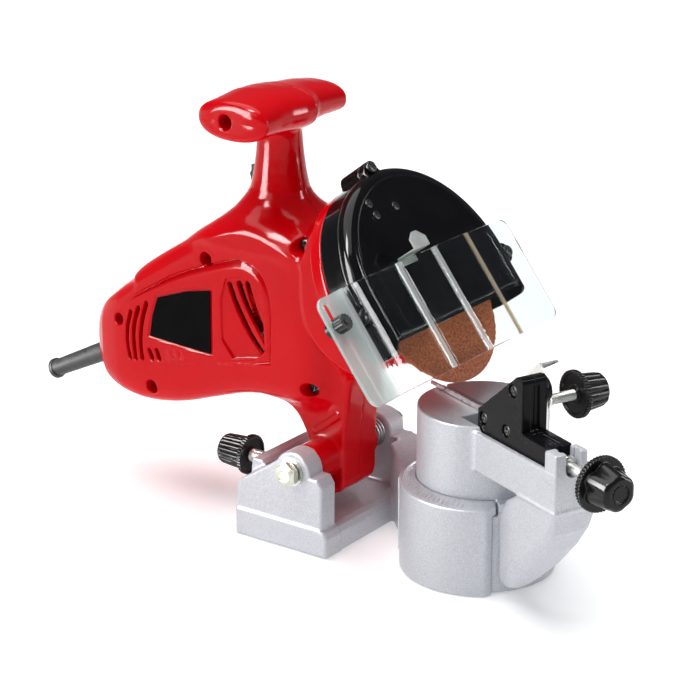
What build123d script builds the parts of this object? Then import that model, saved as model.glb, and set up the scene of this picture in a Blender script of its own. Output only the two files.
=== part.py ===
"""Electric chainsaw sharpener: a tilting grinding head on a cast base with a swivelling chain vise.

Units are millimetres, +Z up, front of the machine (vise side) towards -Y.
The origin is midway between the two bench bolt holes, on the bench face of the base.
Three working frames are used:
  world  - base casting, hinge and depth stop
  HEAD   - origin at the grinding wheel's centre, local Z along the spindle towards the operator
  VISE   - origin on the vise's turning axis, local X across the arm, local -Y along the arm
"""
from build123d import *
import os
from math import sin, cos, tan, radians, pi, sqrt

os.makedirs("parts", exist_ok=True)

# ---------------------------------------------------------------- driving dimensions
WHEEL_R = 50.0            # grinding wheel 100 x 3.2 x 10
WHEEL_T = 3.2
WHEEL_BORE_R = 5.0
SPINDLE_TILT = 36.87      # spindle above the horizontal, head raised
HINGE_Y, HINGE_Z = -20.7, 48.0
BOLT_R = 4.0              # M8 hinge bolt
EAR_OUT, EAR_IN = 48.0, 34.0
BLOCK_FRONT, BLOCK_BACK = -44.5, 20.5
PLATE_T = 16.0
BENCH_HOLE_R = 3.3
BENCH_HOLE_PITCH = 51.0
TABLE_Y = -118.5          # vise turning axis
TABLE_R = 46.3
TABLE_BORE_R = 43.0
LIP_R = 37.4
LIP_Z0, LIP_Z1, LIP_Z2 = 47.5, 51.0, 54.5   # underside, outer and inner height of the sloping scale
TABLE_OPEN_DEG = 47.0     # half angle of the front opening
DRUM_R = 37.0
DRUM_TOP = 97.0
SKIRT_R, SKIRT_IN = 42.6, 38.0
VISE_DEG = -23.0          # vise turned in the rest pose
ARM_L, ARM_R = -25.0, 2.8
ARM_END = 102.0
ARM_Z0, ARM_Z1 = 71.8, 94.5
CH_L, CH_R = -22.1, -5.2  # carriage channel in the arm
CH_FLOOR = 81.0
FEED_A, FEED_Z, FEED_R = -13.5, 96.0, 3.0
GEAR_MODULE = 1.0
GEAR_TEETH, PINION_TEETH = 39, 13
GEAR_OFFSET = GEAR_MODULE * (GEAR_TEETH + PINION_TEETH) / 2.0
WALL = 2.8                # housing wall
GAP = 0.3                 # between parts that move past each other

HEAD = Plane(origin=(0, -81.2, 150.3), x_dir=(1, 0, 0), z_dir=(0, -0.8, 0.6)).location
VISE = Location((0, TABLE_Y, 0), (0, 0, VISE_DEG))


# ---------------------------------------------------------------- helpers
def cyl(r, z0, z1, x=0.0, y=0.0):
    return Pos(x, y, (z0 + z1) / 2.0) * Cylinder(r, z1 - z0)


def cyl_x(r, x0, x1, y=0.0, z=0.0):
    return Pos((x0 + x1) / 2.0, y, z) * (Rot(0, 90, 0) * Cylinder(r, x1 - x0))


def cyl_y(r, y0, y1, x=0.0, z=0.0):
    return Pos(x, (y0 + y1) / 2.0, z) * (Rot(90, 0, 0) * Cylinder(r, y1 - y0))


def box(x0, x1, y0, y1, z0, z1):
    return Pos((x0 + x1) / 2.0, (y0 + y1) / 2.0, (z0 + z1) / 2.0) * Box(x1 - x0, y1 - y0, z1 - z0)


def prism_x(pts, x0, x1):
    """polygon of (y, z) points, extruded along X"""
    return extrude(Plane.YZ.offset(x0) * Polygon(*pts, align=None), amount=x1 - x0, dir=(1, 0, 0))


def prism_z(pts, z0, z1):
    return extrude(Plane.XY.offset(z0) * Polygon(*pts, align=None), amount=z1 - z0, dir=(0, 0, 1))


def side(pts, a0, a1):
    """VISE frame: polygon of (along the arm, height) points, thick from a0 to a1 across the arm"""
    pl = Plane(origin=(a1, 0, 0), x_dir=(0, -1, 0), z_dir=(-1, 0, 0))
    return extrude(pl * Polygon(*pts, align=None), amount=a1 - a0, dir=(-1, 0, 0))


def cyl_a(r, a0, a1, b, z):
    """VISE frame: cylinder across the arm"""
    return cyl_x(r, a0, a1, -b, z)


def cyl_b(r, b0, b1, a, z):
    """VISE frame: cylinder along the arm"""
    return cyl_y(r, -b1, -b0, a, z)


def hexagon(af, z0, z1):
    return extrude(Plane.XY.offset(z0) * RegularPolygon(af / sqrt(3.0), 6), amount=z1 - z0)


def sector(r, half_deg, z0, z1, mid_deg=-90.0):
    """wedge about the Z axis, centred on mid_deg"""
    pts = [(0, 0)]
    n = 8
    for i in range(n + 1):
        a = radians(mid_deg - half_deg + 2.0 * half_deg * i / n)
        pts.append((r / cos(radians(half_deg / n)) * cos(a), r / cos(radians(half_deg / n)) * sin(a)))
    return prism_z(pts, z0, z1)


def knob(flange_r, flange_t, cap_r1, cap_r2, cap_len, flutes=8, bore=0.0):
    """thumb knob along +Z: disc flange first, then a fluted tapering cap"""
    k = cyl(flange_r, 0, flange_t)
    k += Pos(0, 0, flange_t + cap_len / 2.0) * Cone(cap_r1, cap_r2, cap_len)
    for i in range(flutes):
        a = 2 * pi * i / flutes
        k -= Pos((cap_r1 + 1.2) * cos(a), (cap_r1 + 1.2) * sin(a), flange_t + cap_len * 0.45) * Cylinder(2.2, cap_len * 0.9)
    if bore:
        k -= cyl(bore, -1, flange_t + cap_len * 0.7)
    return k


def gear(teeth, z0, z1, bore, module=GEAR_MODULE, turn=0.0, half_tooth=0.25):
    """spur gear with straight-flanked teeth"""
    rp = module * teeth / 2.0
    ra, rf = rp + 0.85 * module, rp - 1.15 * module
    pts = []
    for i in range(teeth):
        a = 2 * pi * i / teeth + turn
        w = 2 * pi / teeth
        for dr, da in ((rf, -0.36), (rp, -half_tooth + 0.02), (ra, -0.12), (ra, 0.12), (rp, half_tooth - 0.02), (rf, 0.36)):
            pts.append((dr * cos(a + da * w), dr * sin(a + da * w)))
    return prism_z(pts, z0, z1) - cyl(bore, z0 - 1, z1 + 1)


def bearing(r_out, r_in, z0, z1):
    """ring bearing drawn as inner race, shield and outer race in one ring"""
    b = cyl(r_out, z0, z1) - cyl(r_in, z0 - 1, z1 + 1)
    mid1, mid2 = r_in + (r_out - r_in) * 0.3, r_in + (r_out - r_in) * 0.7
    for za, zb in ((z0 - 1, z0 + 0.4), (z1 - 0.4, z1 + 1)):
        b -= cyl(mid2, za, zb) - cyl(mid1, za, zb)
    return b


def as_solids(shape):
    s = shape.solids()
    return s[0] if len(s) == 1 else Compound(children=list(s))


def put(name, shape, loc=None):
    if loc is not None:
        shape = loc * shape
    export_step(as_solids(shape), "parts/" + name + ".step")


# ================================================================ base
TBL = Pos(0, TABLE_Y, 0)
ear = [(BLOCK_BACK, 0), (19.8, 30.7), (16.7, 35.2), (-1.9, 47.4), (-9.8, 53.0), (-20.7, 56.0), (-31.4, 46.9), (-38.0, 46.8),
       (-41.3, 41.9), (-41.2, 16.3), (BLOCK_FRONT, 11.5), (BLOCK_FRONT, 0)]
plate = [(BLOCK_FRONT, 0), (BLOCK_FRONT, 11.5), (-42.9, 14.8), (-39.5, PLATE_T), (BLOCK_BACK, PLATE_T), (BLOCK_BACK, 0)]
base = prism_x(plate, -EAR_OUT, EAR_OUT)
for s in (-1, 1):
    x0, x1 = sorted((s * EAR_IN, s * EAR_OUT))
    base += prism_x(ear, x0, x1) + cyl_x(12.0, x0, x1, HINGE_Y, HINGE_Z)
base += prism_x([(9.0, PLATE_T - 1), (9.0, 41.0), (11.5, 43.5), (18.0, 43.5), (19.0, 38.0), (20.0, PLATE_T - 1)], -EAR_IN - 1, EAR_IN + 1)
base += prism_z([(26, -38), (EAR_OUT, -38), (EAR_OUT, TABLE_Y), (20, TABLE_Y), (-14, -71.0), (-1, -65.2)], 0, 46.0)
table = TBL * (cyl(TABLE_R, 0, LIP_Z1) + Pos(0, 0, (LIP_Z1 + LIP_Z2) / 2.0) * Cone(TABLE_R, LIP_R + 0.8, LIP_Z2 - LIP_Z1))
base += table
base -= TBL * cyl(TABLE_BORE_R, -1, LIP_Z0)
base -= TBL * cyl(LIP_R, LIP_Z0 - 1, LIP_Z2 + 1)
base -= TBL * sector(60, TABLE_OPEN_DEG, -1, LIP_Z2 + 1)
# end faces of the ring, square to the arm when it is turned fully
for s in (-1, 1):
    base -= TBL * (Pos(s * 34.5, -28.05, 27.0) * (Rot(0, 0, s * 17.5) * (Pos(0, -10.0, 0) * Box(40.0, 20.0, 60.0))))
# lugs inside the back of the table, for the plate that carries the vise
lug = (cyl(TABLE_BORE_R + 0.6, 21.0, 38.0) - cyl(37.6, 20, 39)) & sector(60, 46, 20, 39, 90)
base += TBL * lug
for s in (-1, 1):
    a = radians(90 + s * 32)
    base -= TBL * cyl(1.75, 15, 34, 40.2 * cos(a), 40.2 * sin(a))
base -= cyl_x(BOLT_R + 0.05, -60, 60, HINGE_Y, HINGE_Z)
base -= cyl_y(4.05, 0, 30, -5.5, 30.0)
for s in (-1, 1):
    base -= cyl(BENCH_HOLE_R, -1, PLATE_T + 1, s * BENCH_HOLE_PITCH / 2.0, 0)
put("base_casting", base)

# hinge bolt, nut, washers
bolt = cyl_x(BOLT_R, -EAR_OUT - 3.0, EAR_OUT + 10.0, HINGE_Y, HINGE_Z)
bolt += Pos(-EAR_OUT - 6.6, HINGE_Y, HINGE_Z) * (Rot(0, 90, 0) * hexagon(13.0, 0, 5.3))
put("hinge_bolt", bolt)
washers = cyl_x(8.0, -EAR_OUT - 1.3, -EAR_OUT, HINGE_Y, HINGE_Z) - cyl_x(4.2, -60, -40, HINGE_Y, HINGE_Z)
washers += cyl_x(8.0, EAR_OUT, EAR_OUT + 1.3, HINGE_Y, HINGE_Z) - cyl_x(4.2, 40, 60, HINGE_Y, HINGE_Z)
put("hinge_washers", washers)
nut = Pos(EAR_OUT + 1.4, HINGE_Y, HINGE_Z) * (Rot(0, 90, 0) * (hexagon(13.0, 0, 6.5) + cyl(5.4, 6.5, 8.2) - cyl(BOLT_R + 0.02, -1, 9)))
put("hinge_nut", nut)

coil = Helix(pitch=2.6, height=7.8, radius=8.6)
spring = sweep(Plane(origin=coil @ 0, z_dir=coil % 0) * Circle(0.9), path=coil)
spring = Pos(24.4, HINGE_Y, HINGE_Z) * (Rot(0, 90, 0) * spring)
put("return_spring", spring)

# ---------------------------------------------------------------- depth stop
DS_X, DS_Z = -5.5, 30.0
pad = cyl_y(4.6, -6.9, -3.6, DS_X, DS_Z) - cyl_y(2.05, -5.6, 0, DS_X, DS_Z)
put("depth_stop_pad", pad)
ds = cyl_y(4.0, -3.4, 41.2, DS_X, DS_Z) + cyl_y(2.0, -5.4, -3.4, DS_X, DS_Z) + cyl_y(3.0, 41.2, 52.0, DS_X, DS_Z)
put("depth_stop_screw", ds)
kn = knob(12.5, 3.2, 10.4, 9.0, 18.0, bore=0.0) - cyl(3.02, -1, 11.0)
put("depth_stop_knob", Pos(DS_X, 41.2, DS_Z) * (Rot(-90, 0, 0) * kn))

# ================================================================ vise (VISE frame)
plate2 = cyl(37.6, 15.0, 21.0) + ((cyl(42.8, 15.0, 21.0) - cyl(30, 14, 22)) & sector(60, 46, 14, 22, 90 - 0))
plate2 -= cyl(4.35, 10, 25)
pscr = None
for s in (-1, 1):
    a = radians(90 + s * 32)
    px, py = 40.2 * cos(a), 40.2 * sin(a)
    plate2 -= cyl(1.75, 10, 25, px, py)
    c = cyl(1.7, 13.2, 31.0, px, py) + cyl(2.7, 12.6, 14.95, px, py)
    pscr = c if pscr is None else pscr + c
put("pivot_plate", plate2, TBL)
put("pivot_plate_screws", pscr, TBL)
put("thrust_washer", cyl(17.0, 21.05, 22.9) - cyl(4.4, 20, 25), TBL)

body = cyl(DRUM_R, 23.2, DRUM_TOP) - cyl(32.5, 20, 76.0)
body += cyl(11.0, 23.2, 77.0)
skirt = (cyl(SKIRT_R, 0.8, 46.8) - cyl(SKIRT_IN, 0, 50)) & sector(60, 88, 0, 50)
link = (cyl(SKIRT_IN + 0.5, 23.2, 46.8) - cyl(DRUM_R - 1.5, 20, 50)) & sector(60, 88, 0, 50)
body += skirt + link
gusset = [(36.0, 3.0), (44.3, 3.0), (53.0, 8.0), (65.3, 17.6), (80.7, 31.9), (92.1, 46.7), (98.6, 58.7), (100.4, 66.3), (ARM_END, ARM_Z0 + 1),
          (70.0, ARM_Z0 + 1), (52.0, 62.0), (36.0, 47.0)]
g = side(gusset, ARM_L, ARM_R)
g -= box(-60, 0, -70.0, 0, -1, ARM_Z0) - cyl(54.3, -2, ARM_Z0 + 1, 29.3, -70.0)
g -= cyl(SKIRT_IN + 0.5, -1, 48.0)
g -= box(-60, 20, -200, 60, -1, 3.0)
body += g
# the wall above the skirt that closes the ring's opening
body += (cyl(SKIRT_R, 46.0, 54.2) - cyl(DRUM_R - 1.5, 40, 60)) & sector(60, 16.65, 40, 60, -95.65)
body += box(ARM_L, ARM_R, -ARM_END, 0, ARM_Z0, ARM_Z1)
body -= cyl(32.5, 20, 76.0) - cyl(11.0, 19, 77.0)
# end posts
body += box(ARM_L, -18.1, -ARM_END, -91.7, ARM_Z1 - 1, 105.4)
body += box(-8.9, -4.5, -ARM_END, -91.7, ARM_Z1 - 1, 105.4)
# carriage channel, open at the top
body -= box(CH_L, CH_R, -91.7, -10.2, CH_FLOOR, 120)
# seat of the feed screw in the end wall
body -= box(FEED_A - 4.6, FEED_A + 4.6, -ARM_END - 1, -91, FEED_Z, 120) + cyl_b(4.6, 91, ARM_END + 1, FEED_A, FEED_Z)
body -= box(FEED_A - 6.0, FEED_A + 6.0, -98.2, -94.8, FEED_Z, 120) + cyl_b(6.0, 94.8, 98.2, FEED_A, FEED_Z)
# slot for the chain's drive links
body -= box(-2.0, -0.4, -ARM_END - 1, 40, 86.5, 120)
body -= cyl(4.05, 20, 55)
put("vise_body", body, VISE)
put("vise_stud", cyl(4.0, 3.0, 52.0), VISE)
lk = cyl(15.5, 4.2, 14.6)
for i in range(6):
    a = 2 * pi * i / 6
    lk -= cyl(5.0, 3, 13.0, 18.0 * cos(a), 18.0 * sin(a))
lk -= cyl(4.03, 2, 16)
put("vise_lock_knob", lk, VISE)

# ---------------------------------------------------------------- carriage with the stop finger and the chain clamp
half = [(25.9, 82.0), (25.9, 106.9), (57.9, 133.4), (60.0, 135.4), (65.3, 135.7), (66.9, 133.6), (66.9, 105.2), (89.3, 104.8), (89.3, 82.0)]
screws_bz = [(57.5, 126.6), (31.0, 102.6), (52.3, 102.2)]
cl = side(half, -21.8, FEED_A)
cr = side(half, FEED_A, -5.6)
cr += cyl_a(8.0, -5.6, -2.6, 59.6, 125.4)
for b, z in screws_bz:
    end = -9.7 if b < 40 else -7.5
    cl -= cyl_a(3.6, -23, -19.4, b, z) + cyl_a(2.0, -23, -10, b, z)
    cr -= cyl_a(1.95, -15, end - 0.0, b, z)
bore_f = cyl_b(FEED_R + 0.05, 40.0, 95, FEED_A, FEED_Z)
cl -= bore_f
cr -= bore_f
cr -= box(-9.2, -7.4, -41.5, -20, 95.0, 127.0)          # slot of the stop finger
cr -= cyl_a(1.55, -12.5, -4, 35.5, 100.4)                # its pin
cr -= cyl_a(3.05, -13.3, -2, 52.8, 114.8)                # clamp screw
put("carriage_left", cl, VISE)
put("carriage_right", cr, VISE)
cs = None
for b, z in screws_bz:
    end = -9.8 if b < 40 else -7.6
    c = cyl_a(3.3, -21.6, -19.4, b, z) + cyl_a(1.9, -19.4, end, b, z)
    c -= Pos(-21.6, -b, z) * Box(1.2, 4.6, 0.9) + Pos(-21.6, -b, z) * Box(1.2, 0.9, 4.6)
    cs = c if cs is None else cs + c
put("carriage_screws", cs, VISE)
finger = [(-40.0, 97.8), (-40.0, 99.5), (-8.0, 100.4), (9.0, 100.4), (24.0, 103.2), (33.0, 104.2), (38.2, 103.0), (38.8, 98.8), (35.0, 97.6), (24.0, 98.2), (9.0, 97.5), (-8.0, 97.5)]
fi = side(finger, -9.0, -7.6) - cyl_a(1.53, -10, -6, 35.5, 100.4)
put("stop_finger", fi, VISE)
put("finger_pin", cyl_a(1.5, -12.3, -5.6, 35.5, 100.4), VISE)

cp = side([(39.0, 98.0), (39.4, 126.7), (49.4, 136.0), (53.7, 129.6), (57.0, 124.0), (57.0, 98.0)], 0.8, 2.3)
tab = extrude(Plane(origin=(2.0, -49.4, 136.0), x_dir=(1, 0, 0), z_dir=(0, -0.83, -0.56)) *
              Polygon((-1.0, -0.9), (-1.0, -6.4), (11.6, -1.6), (11.6, -0.9), align=None), amount=1.3, dir=(0, -0.83, -0.56))
cp += Pos(0, 0, 0) * tab
cp -= cyl_a(3.12, -1, 4, 52.8, 114.8)
put("clamp_plate", cp, VISE)
csn = cyl_a(3.0, -10.4, 22.0, 52.8, 114.8) + cyl_a(5.2, 2.35, 4.2, 52.8, 114.8) + cyl_a(2.6, 22.0, 32.0, 52.8, 114.8)
put("clamp_screw", csn, VISE)
ck = knob(13.6, 3.2, 11.0, 9.2, 15.5) - cyl(2.62, -1, 10.5)
put("clamp_knob", VISE * (Pos(22.0, -52.8, 114.8) * (Rot(0, 90, 0) * ck)))

fs = cyl_b(FEED_R, 45.0, 123.0, FEED_A, FEED_Z) + cyl_b(5.6, 95.1, 97.9, FEED_A, FEED_Z) + cyl_b(2.6, 123.0, 133.0, FEED_A, FEED_Z)
put("feed_screw", fs, VISE)
fk_ = knob(15.5, 3.6, 12.4, 9.6, 15.0) - cyl(2.62, -1, 10.6)
put("feed_knob", VISE * (Pos(FEED_A, -123.0, FEED_Z) * (Rot(90, 0, 0) * fk_)))

# ================================================================ head, clamshell housing
SIDE_OUT = [(-26.0, 92.0), (-24.0, 171.0), (-2.0, 182.0), (28.0, 182.0), (47.0, 178.5), (57.8, 173.7), (101.9, 146.8), (140.6, 114.5),
            (150.2, 101.0), (150.8, 88.0), (147.5, 74.5), (138.0, 65.0), (118.6, 58.3), (99.8, 57.0), (76.9, 61.0), (53.8, 69.5), (27.8, 79.5), (4.0, 80.4)]
HALF_W = 34.5
CHAMF = 11.0
NECK_Y = 22.5


def body_prism(d):
    """the motor housing's body, drawn in by d"""
    f = Plane.YZ * offset(make_face(Polyline(*SIDE_OUT, close=True)), -d) if d else Plane.YZ * make_face(Polyline(*SIDE_OUT, close=True))
    w = HALF_W - d
    b = extrude(f, amount=w, dir=(1, 0, 0), both=True)
    c = CHAMF - 0.4 * d
    ends = b.edges().filter_by_position(Axis.X, w - 0.01, w + 0.01) + b.edges().filter_by_position(Axis.X, -w - 0.01, -w + 0.01)
    b = chamfer(ends, c)
    k = d * 1.1
    plan = [(-w, -60), (w, -60), (w, 119 - k), (30.5 - d, 137 - k), (20 - d, 152 - d), (-20 + d, 152 - d), (-30.5 + d, 137 - k), (-w, 119 - k)]
    return b & prism_z(plan, 0, 300)


def cone_z(r0, r1, z0, z1, y=NECK_Y):
    return Pos(0, y, (z0 + z1) / 2.0) * Cone(r0, r1, z1 - z0)


def neck(d):
    return cone_z(31.0 - d, 24.0 - d, 172.0, 190.0) + cone_z(24.0 - d, 17.2 - d, 190.0, 201.0) + cone_z(17.2 - d, 13.4 - d, 201.0, 240.0 - d)


HANDLE_X0, HANDLE_X1, HANDLE_Z = -47.5, 43.0, 247.4


def handle():
    h = extrude(Plane.YZ.offset(HANDLE_X0) * (Pos(NECK_Y, HANDLE_Z) * Ellipse(24.5, 12.3)), amount=HANDLE_X1 - HANDLE_X0, dir=(1, 0, 0))
    return chamfer(h.edges(), 2.0)


def u_shape(r, drop, vc=10.0):
    """guard outline in the HEAD frame: half circle with straight sides down to -drop"""
    sk = Pos(0, vc) * Circle(r)
    sk = sk & (Pos(0, vc + 100) * Rectangle(400, 200))
    return sk + Pos(0, (vc - drop) / 2.0) * Rectangle(2 * r, vc + drop)


def nose(d):
    """double cone between the motor housing and the guard, flat underneath, HEAD frame"""
    c = Pos(0, 14.0, -46.0) * Cone(32.0 - d, 57.5 - d, 32.0) + Pos(0, 14.0, -23.5) * Cone(57.5 - d, 61.0 - d, 13.0)
    return c & box(-80, 80, -18.0 + d, 90, -70, -10)


def leg():
    return prism_x([(-35.5, 24.7), (-10.5, 24.7), (-10.5, 48.0), (-9.6, 55.0), (0.4, 72.5), (10.0, 84.0), (24.0, 112.0), (-36.0, 112.0)], -16.7, 16.7)


BAR_L, BAR_R = -33.7, 22.6
MX = GEAR_OFFSET
inner = body_prism(WALL) + (neck(WALL) & box(-60, 60, -60, 90, 160, 234.0)) + HEAD * nose(WALL)
outer = body_prism(0.0) + neck(0.0) + handle() + HEAD * nose(0.0)
outer += HEAD * extrude(Plane.XY.offset(-17.0) * u_shape(67.0, 18.0), amount=9.6)
outer += leg() + cyl_x(11.5, BAR_L, BAR_R, HINGE_Y, HINGE_Z)
outer += HEAD * (cyl(24.2, -36.5, -16.0) + cyl(20.2, -50.4, -36.4))
leg_hollow = prism_x([(-33.0, 60.0), (-12.0, 60.0), (4.0, 88.0), (-10.0, 120.0), (-33.0, 120.0)], -13.9, 13.9)
outer = outer - inner - leg_hollow
SCREWS_YZ = [(52.5, 158.0), (-13.0, 176.0), (-18.9, 92.0), (96.5, 70.0), (120.0, 108.0)]
bosses = cyl_x(5.0, -30.0, 30.0, 25.0, 246.0)
for y, z in SCREWS_YZ:
    bosses += cyl_x(5.4, -32.6, 32.6, y, z)
SR_P = (0.0, 139.6, 81.3)          # strain relief root
SR = Plane(origin=SR_P, x_dir=(1, 0, 0), z_dir=(0, 0.8975, -0.4410)).location
bosses += SR * (cyl(10.5, 0.0, 7.0) + box(-12.5, 12.5, 4.45, 16.0, -13.5, -5.5))
# front bulkhead, gear case web, motor cradle and rear bearing web
webs = HEAD * (cyl(70.0, -24.0, -19.9, 0, 10) + cyl(60.0, -45.5, -40.5, 0, MX) + cyl(40.0, -74.0, -70.5, 0, MX) + cyl(40.0, -95.5, -92.0, 0, MX))
webs += HEAD * cyl(34.0, -126.8, -121.0, 0, MX)
outer += (bosses + webs) & (inner + leg_hollow)
outer += cyl_x(5.0, -30.0, 30.0, 25.0, 246.0)
case = cyl(20.6, -47.6, -37.0, 0, MX) + cyl(17.1, -47.6, -37.0) + box(-16.1, 16.1, 0, MX, -47.6, -37.0)
cuts = [
    HEAD * case,
    HEAD * cyl(21.4, -37.1, -23.6),
    HEAD * cyl(22.02, -23.7, -19.0),
    HEAD * cyl(18.0, -20.0, -5.0),
    HEAD * cyl(12.0, -37.1, -23.6, 0, MX),
    HEAD * cyl(24.02, -103.0, -47.5, 0, MX),
    HEAD * cyl(23.4, -121.0, -102.9, 0, MX) & box(-30, 30, -40, 160, 83.5, 160),
    HEAD * cyl(11.01, -128.5, -119.0, 0, MX),
    HEAD * extrude(Plane.XY.offset(-14.4) * u_shape(64.2, 15.2), amount=20.0),
    SR * cyl(6.75, -2, 30),
    SR * cyl(9.0, -3.2, 0.0),
    SR * box(-12.6, 12.6, -8, 4.45, -14.0, -5.0),
    SR * cyl_y(1.4, 4, 9.0, -8.0, -9.5),
    SR * cyl_y(1.4, 4, 9.0, 8.0, -9.5),
    cyl_x(BOLT_R + 0.06, -60, 60, HINGE_Y, HINGE_Z),
]
# vents: three slanted slots per side and upright slots round the back
for s in (-1, 1):
    for ya, za, yb, zb in ((35.8, 144.5, 7.5, 107.0), (26.9, 146.3, 5.6, 112.8), (20.6, 147.3, 9.3, 125.7)):
        L = sqrt((ya - yb) ** 2 + (za - zb) ** 2)
        cuts.append(extrude(Plane(origin=(s * 38.0, (ya + yb) / 2.0, (za + zb) / 2.0), x_dir=(0, (ya - yb) / L, (za - zb) / L), z_dir=(-s, 0, 0)) *
                            SlotOverall(L, 3.4), amount=10.0))
    for y, z0, z1 in ((103.5, 87.0, 121.0), (110.5, 85.5, 118.0), (117.0, 85.0, 114.0)):
        cuts.append(Pos(s * 33, y, (z0 + z1) / 2.0) * Box(14, 2.8, z1 - z0))
# label recess and switch cut-out
panel_pts = [(89.9, 128.0), (48.5, 140.5), (48.5, 99.4), (96.5, 100.9)]
cuts.append(prism_x(panel_pts, -36.0, -33.6))
cuts.append(box(-6.2, 6.2, 23.2, 60.0, 192.6, 211.4))
SCREW_HEAD_X = -22.0
hs = None
for y, z in SCREWS_YZ:
    cuts += [cyl_x(4.2, -80, SCREW_HEAD_X, y, z), cyl_x(1.8, SCREW_HEAD_X - 1, 14.0, y, z)]
    c = cyl_x(3.7, SCREW_HEAD_X - 2.4, SCREW_HEAD_X, y, z) + cyl_x(1.75, SCREW_HEAD_X, 13.5, y, z)
    c -= Pos(SCREW_HEAD_X - 2.4, y, z) * (Box(1.6, 4.6, 1.0) + Box(1.6, 1.0, 4.6))
    hs = c if hs is None else hs + c
y, z = 25.0, 246.0
cuts += [cyl_x(4.0, -80, -30.0, y, z), cyl_x(1.8, -31, 14.0, y, z)]
outer = outer - cuts
c = cyl_x(3.5, -32.4, -30.0, y, z) + cyl_x(1.75, -30.0, 13.5, y, z)
c -= Pos(-32.4, y, z) * (Box(1.6, 4.6, 1.0) + Box(1.6, 1.0, 4.6))
hs = hs + c
put("housing_screws", hs)
# spring window beside the right barrel
left = outer & box(-90, 0, -200, 260, 0, 300)
right = outer & box(0, 90, -200, 260, 0, 300)


def biggest(shape, keep=0.02):
    ss = sorted(shape.solids(), key=lambda q: -q.volume)
    return Compound(children=[q for q in ss if q.volume > keep * ss[0].volume]) if len(ss) > 1 else ss[0]


put("housing_left", biggest(left))
put("housing_right", biggest(right))
put("label_panel", prism_x([(89.6, 127.6), (48.8, 140.0), (48.8, 99.8), (96.0, 101.2)], -34.5, -33.62))

# rocker switch in the back of the neck
put("switch_body", box(-6.0, 6.0, 23.6, 38.9, 192.9, 211.1) - box(-4.4, 4.4, 32.4, 41.0, 194.6, 209.4))
rk = cyl_x(9.0, -4.1, 4.1, 33.0, 202.0) & box(-5, 5, 34.4, 50, 195.8, 208.2)
rk -= cyl_x(14.0, -5, 5, 33.0 + 21.6, 202.0)
ROCKER = Pos(0, 33.0, 202.0) * Rot(-7, 0, 0) * Pos(0, -33.0, -202.0)
put("switch_rocker", rk, ROCKER)

# strain relief sleeve and cord clamp
sl = Pos(0, 0, 36.5) * Cone(6.6, 5.3, 73.0)
sl += cyl(6.5, 70.0, 73.0) + cyl(8.6, -3.0, -0.4) + cyl(6.6, -3.0, 1.0)
sl -= cyl(3.6, -10, 80)
put("strain_relief", sl, SR)
cc = box(-11.0, 11.0, -4.4, 4.4, -13.0, -6.0) - cyl(3.7, -20, 0)
cc -= cyl_y(1.6, -6, 6, -8.0, -9.5) + cyl_y(1.6, -6, 6, 8.0, -9.5)
put("cord_clamp", cc, SR)
ccs = None
for x in (-8.0, 8.0):
    c = cyl_y(1.35, -4.45, 8.0, x, -9.5) + cyl_y(2.6, -6.5, -4.45, x, -9.5)
    ccs = c if ccs is None else ccs + c
put("cord_clamp_screws", ccs, SR)

# ================================================================ drive (HEAD frame)
M = GEAR_OFFSET
sp = cyl(4.98, -46.0, 12.0) + cyl(7.5, -25.2, -10.0)
put("spindle", sp, HEAD)
put("spindle_bearings", (bearing(13.0, 7.52, -19.0, -11.0) + bearing(13.0, 5.0, -46.1, -38.2)), HEAD)
put("drive_gear", gear(GEAR_TEETH, -34.0, -26.0, 5.0, turn=pi / 2) - (cyl(15.5, -35, -31.5) - cyl(9.0, -36, -31)), HEAD)
put("inner_flange", cyl(16.0, -5.4, -1.6) - cyl(5.0, -8, 2) - (cyl(13.0, -2.1, -1.0) - cyl(7.5, -3, 0)), HEAD)
put("outer_flange", cyl(15.0, 1.6, 4.6) - cyl(5.0, 0, 8) - (cyl(12.5, 1.0, 2.1) - cyl(7.5, 0, 3)), HEAD)
put("wheel_nut", hexagon(16.0, 4.62, 10.2) - cyl(5.0, 0, 12), HEAD)
put("grinding_wheel", cyl(WHEEL_R, -WHEEL_T / 2, WHEEL_T / 2) - cyl(WHEEL_BORE_R, -5, 5), HEAD)
gp = cyl(22.0, -23.5, -20.0) + cyl(16.5, -23.5, -8.2)
gp -= cyl(13.02, -19.5, -5) + cyl(9.0, -30, -5)
put("bearing_carrier", gp, HEAD)
# armature
put("armature_shaft", cyl(3.98, -127.0, -24.5, 0, M), HEAD)
core = cyl(13.6, -98.0, -66.5)
for i in range(10):
    a = 2 * pi * i / 10
    core -= cyl(1.7, -99, -66, 12.4 * cos(a), 12.4 * sin(a))
core += cyl(11.5, -103.0, -61.5)
core -= cyl(3.98, -130, -20)
put("armature_core", core, HEAD * Pos(0, M, 0))
cm = cyl(9.0, -118.0, -104.0) - cyl(3.98, -130, -90)
for i in range(16):
    a = 2 * pi * i / 16
    cm -= Pos(9.0 * cos(a), 9.0 * sin(a), -110.5) * Box(0.8, 0.8, 13.0)
put("commutator", cm, HEAD * Pos(0, M, 0))
fan = cyl(22.0, -49.5, -48.0) + cyl(7.0, -58.0, -48.0)
for i in range(11):
    a = 360.0 * i / 11
    fan += Rot(0, 0, a) * (Pos(13.2, 0, -53.0) * Box(16.0, 1.3, 8.0))
fan -= cyl(3.98, -70, -40)
put("fan", fan, HEAD * Pos(0, M, 0))
put("pinion", gear(PINION_TEETH, -35.0, -25.0, 3.98, turn=-pi / 2 + pi / PINION_TEETH), HEAD * Pos(0, M, 0))
put("armature_bearings", (bearing(11.0, 4.0, -45.9, -38.9) + bearing(11.0, 4.0, -127.0, -120.5)), HEAD * Pos(0, M, 0))
fb = cyl(20.5, -47.0, -38.0, 0, M) + cyl(17.0, -47.0, -38.0) + box(-16.0, 16.0, 0, M, -47.0, -38.0)
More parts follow.
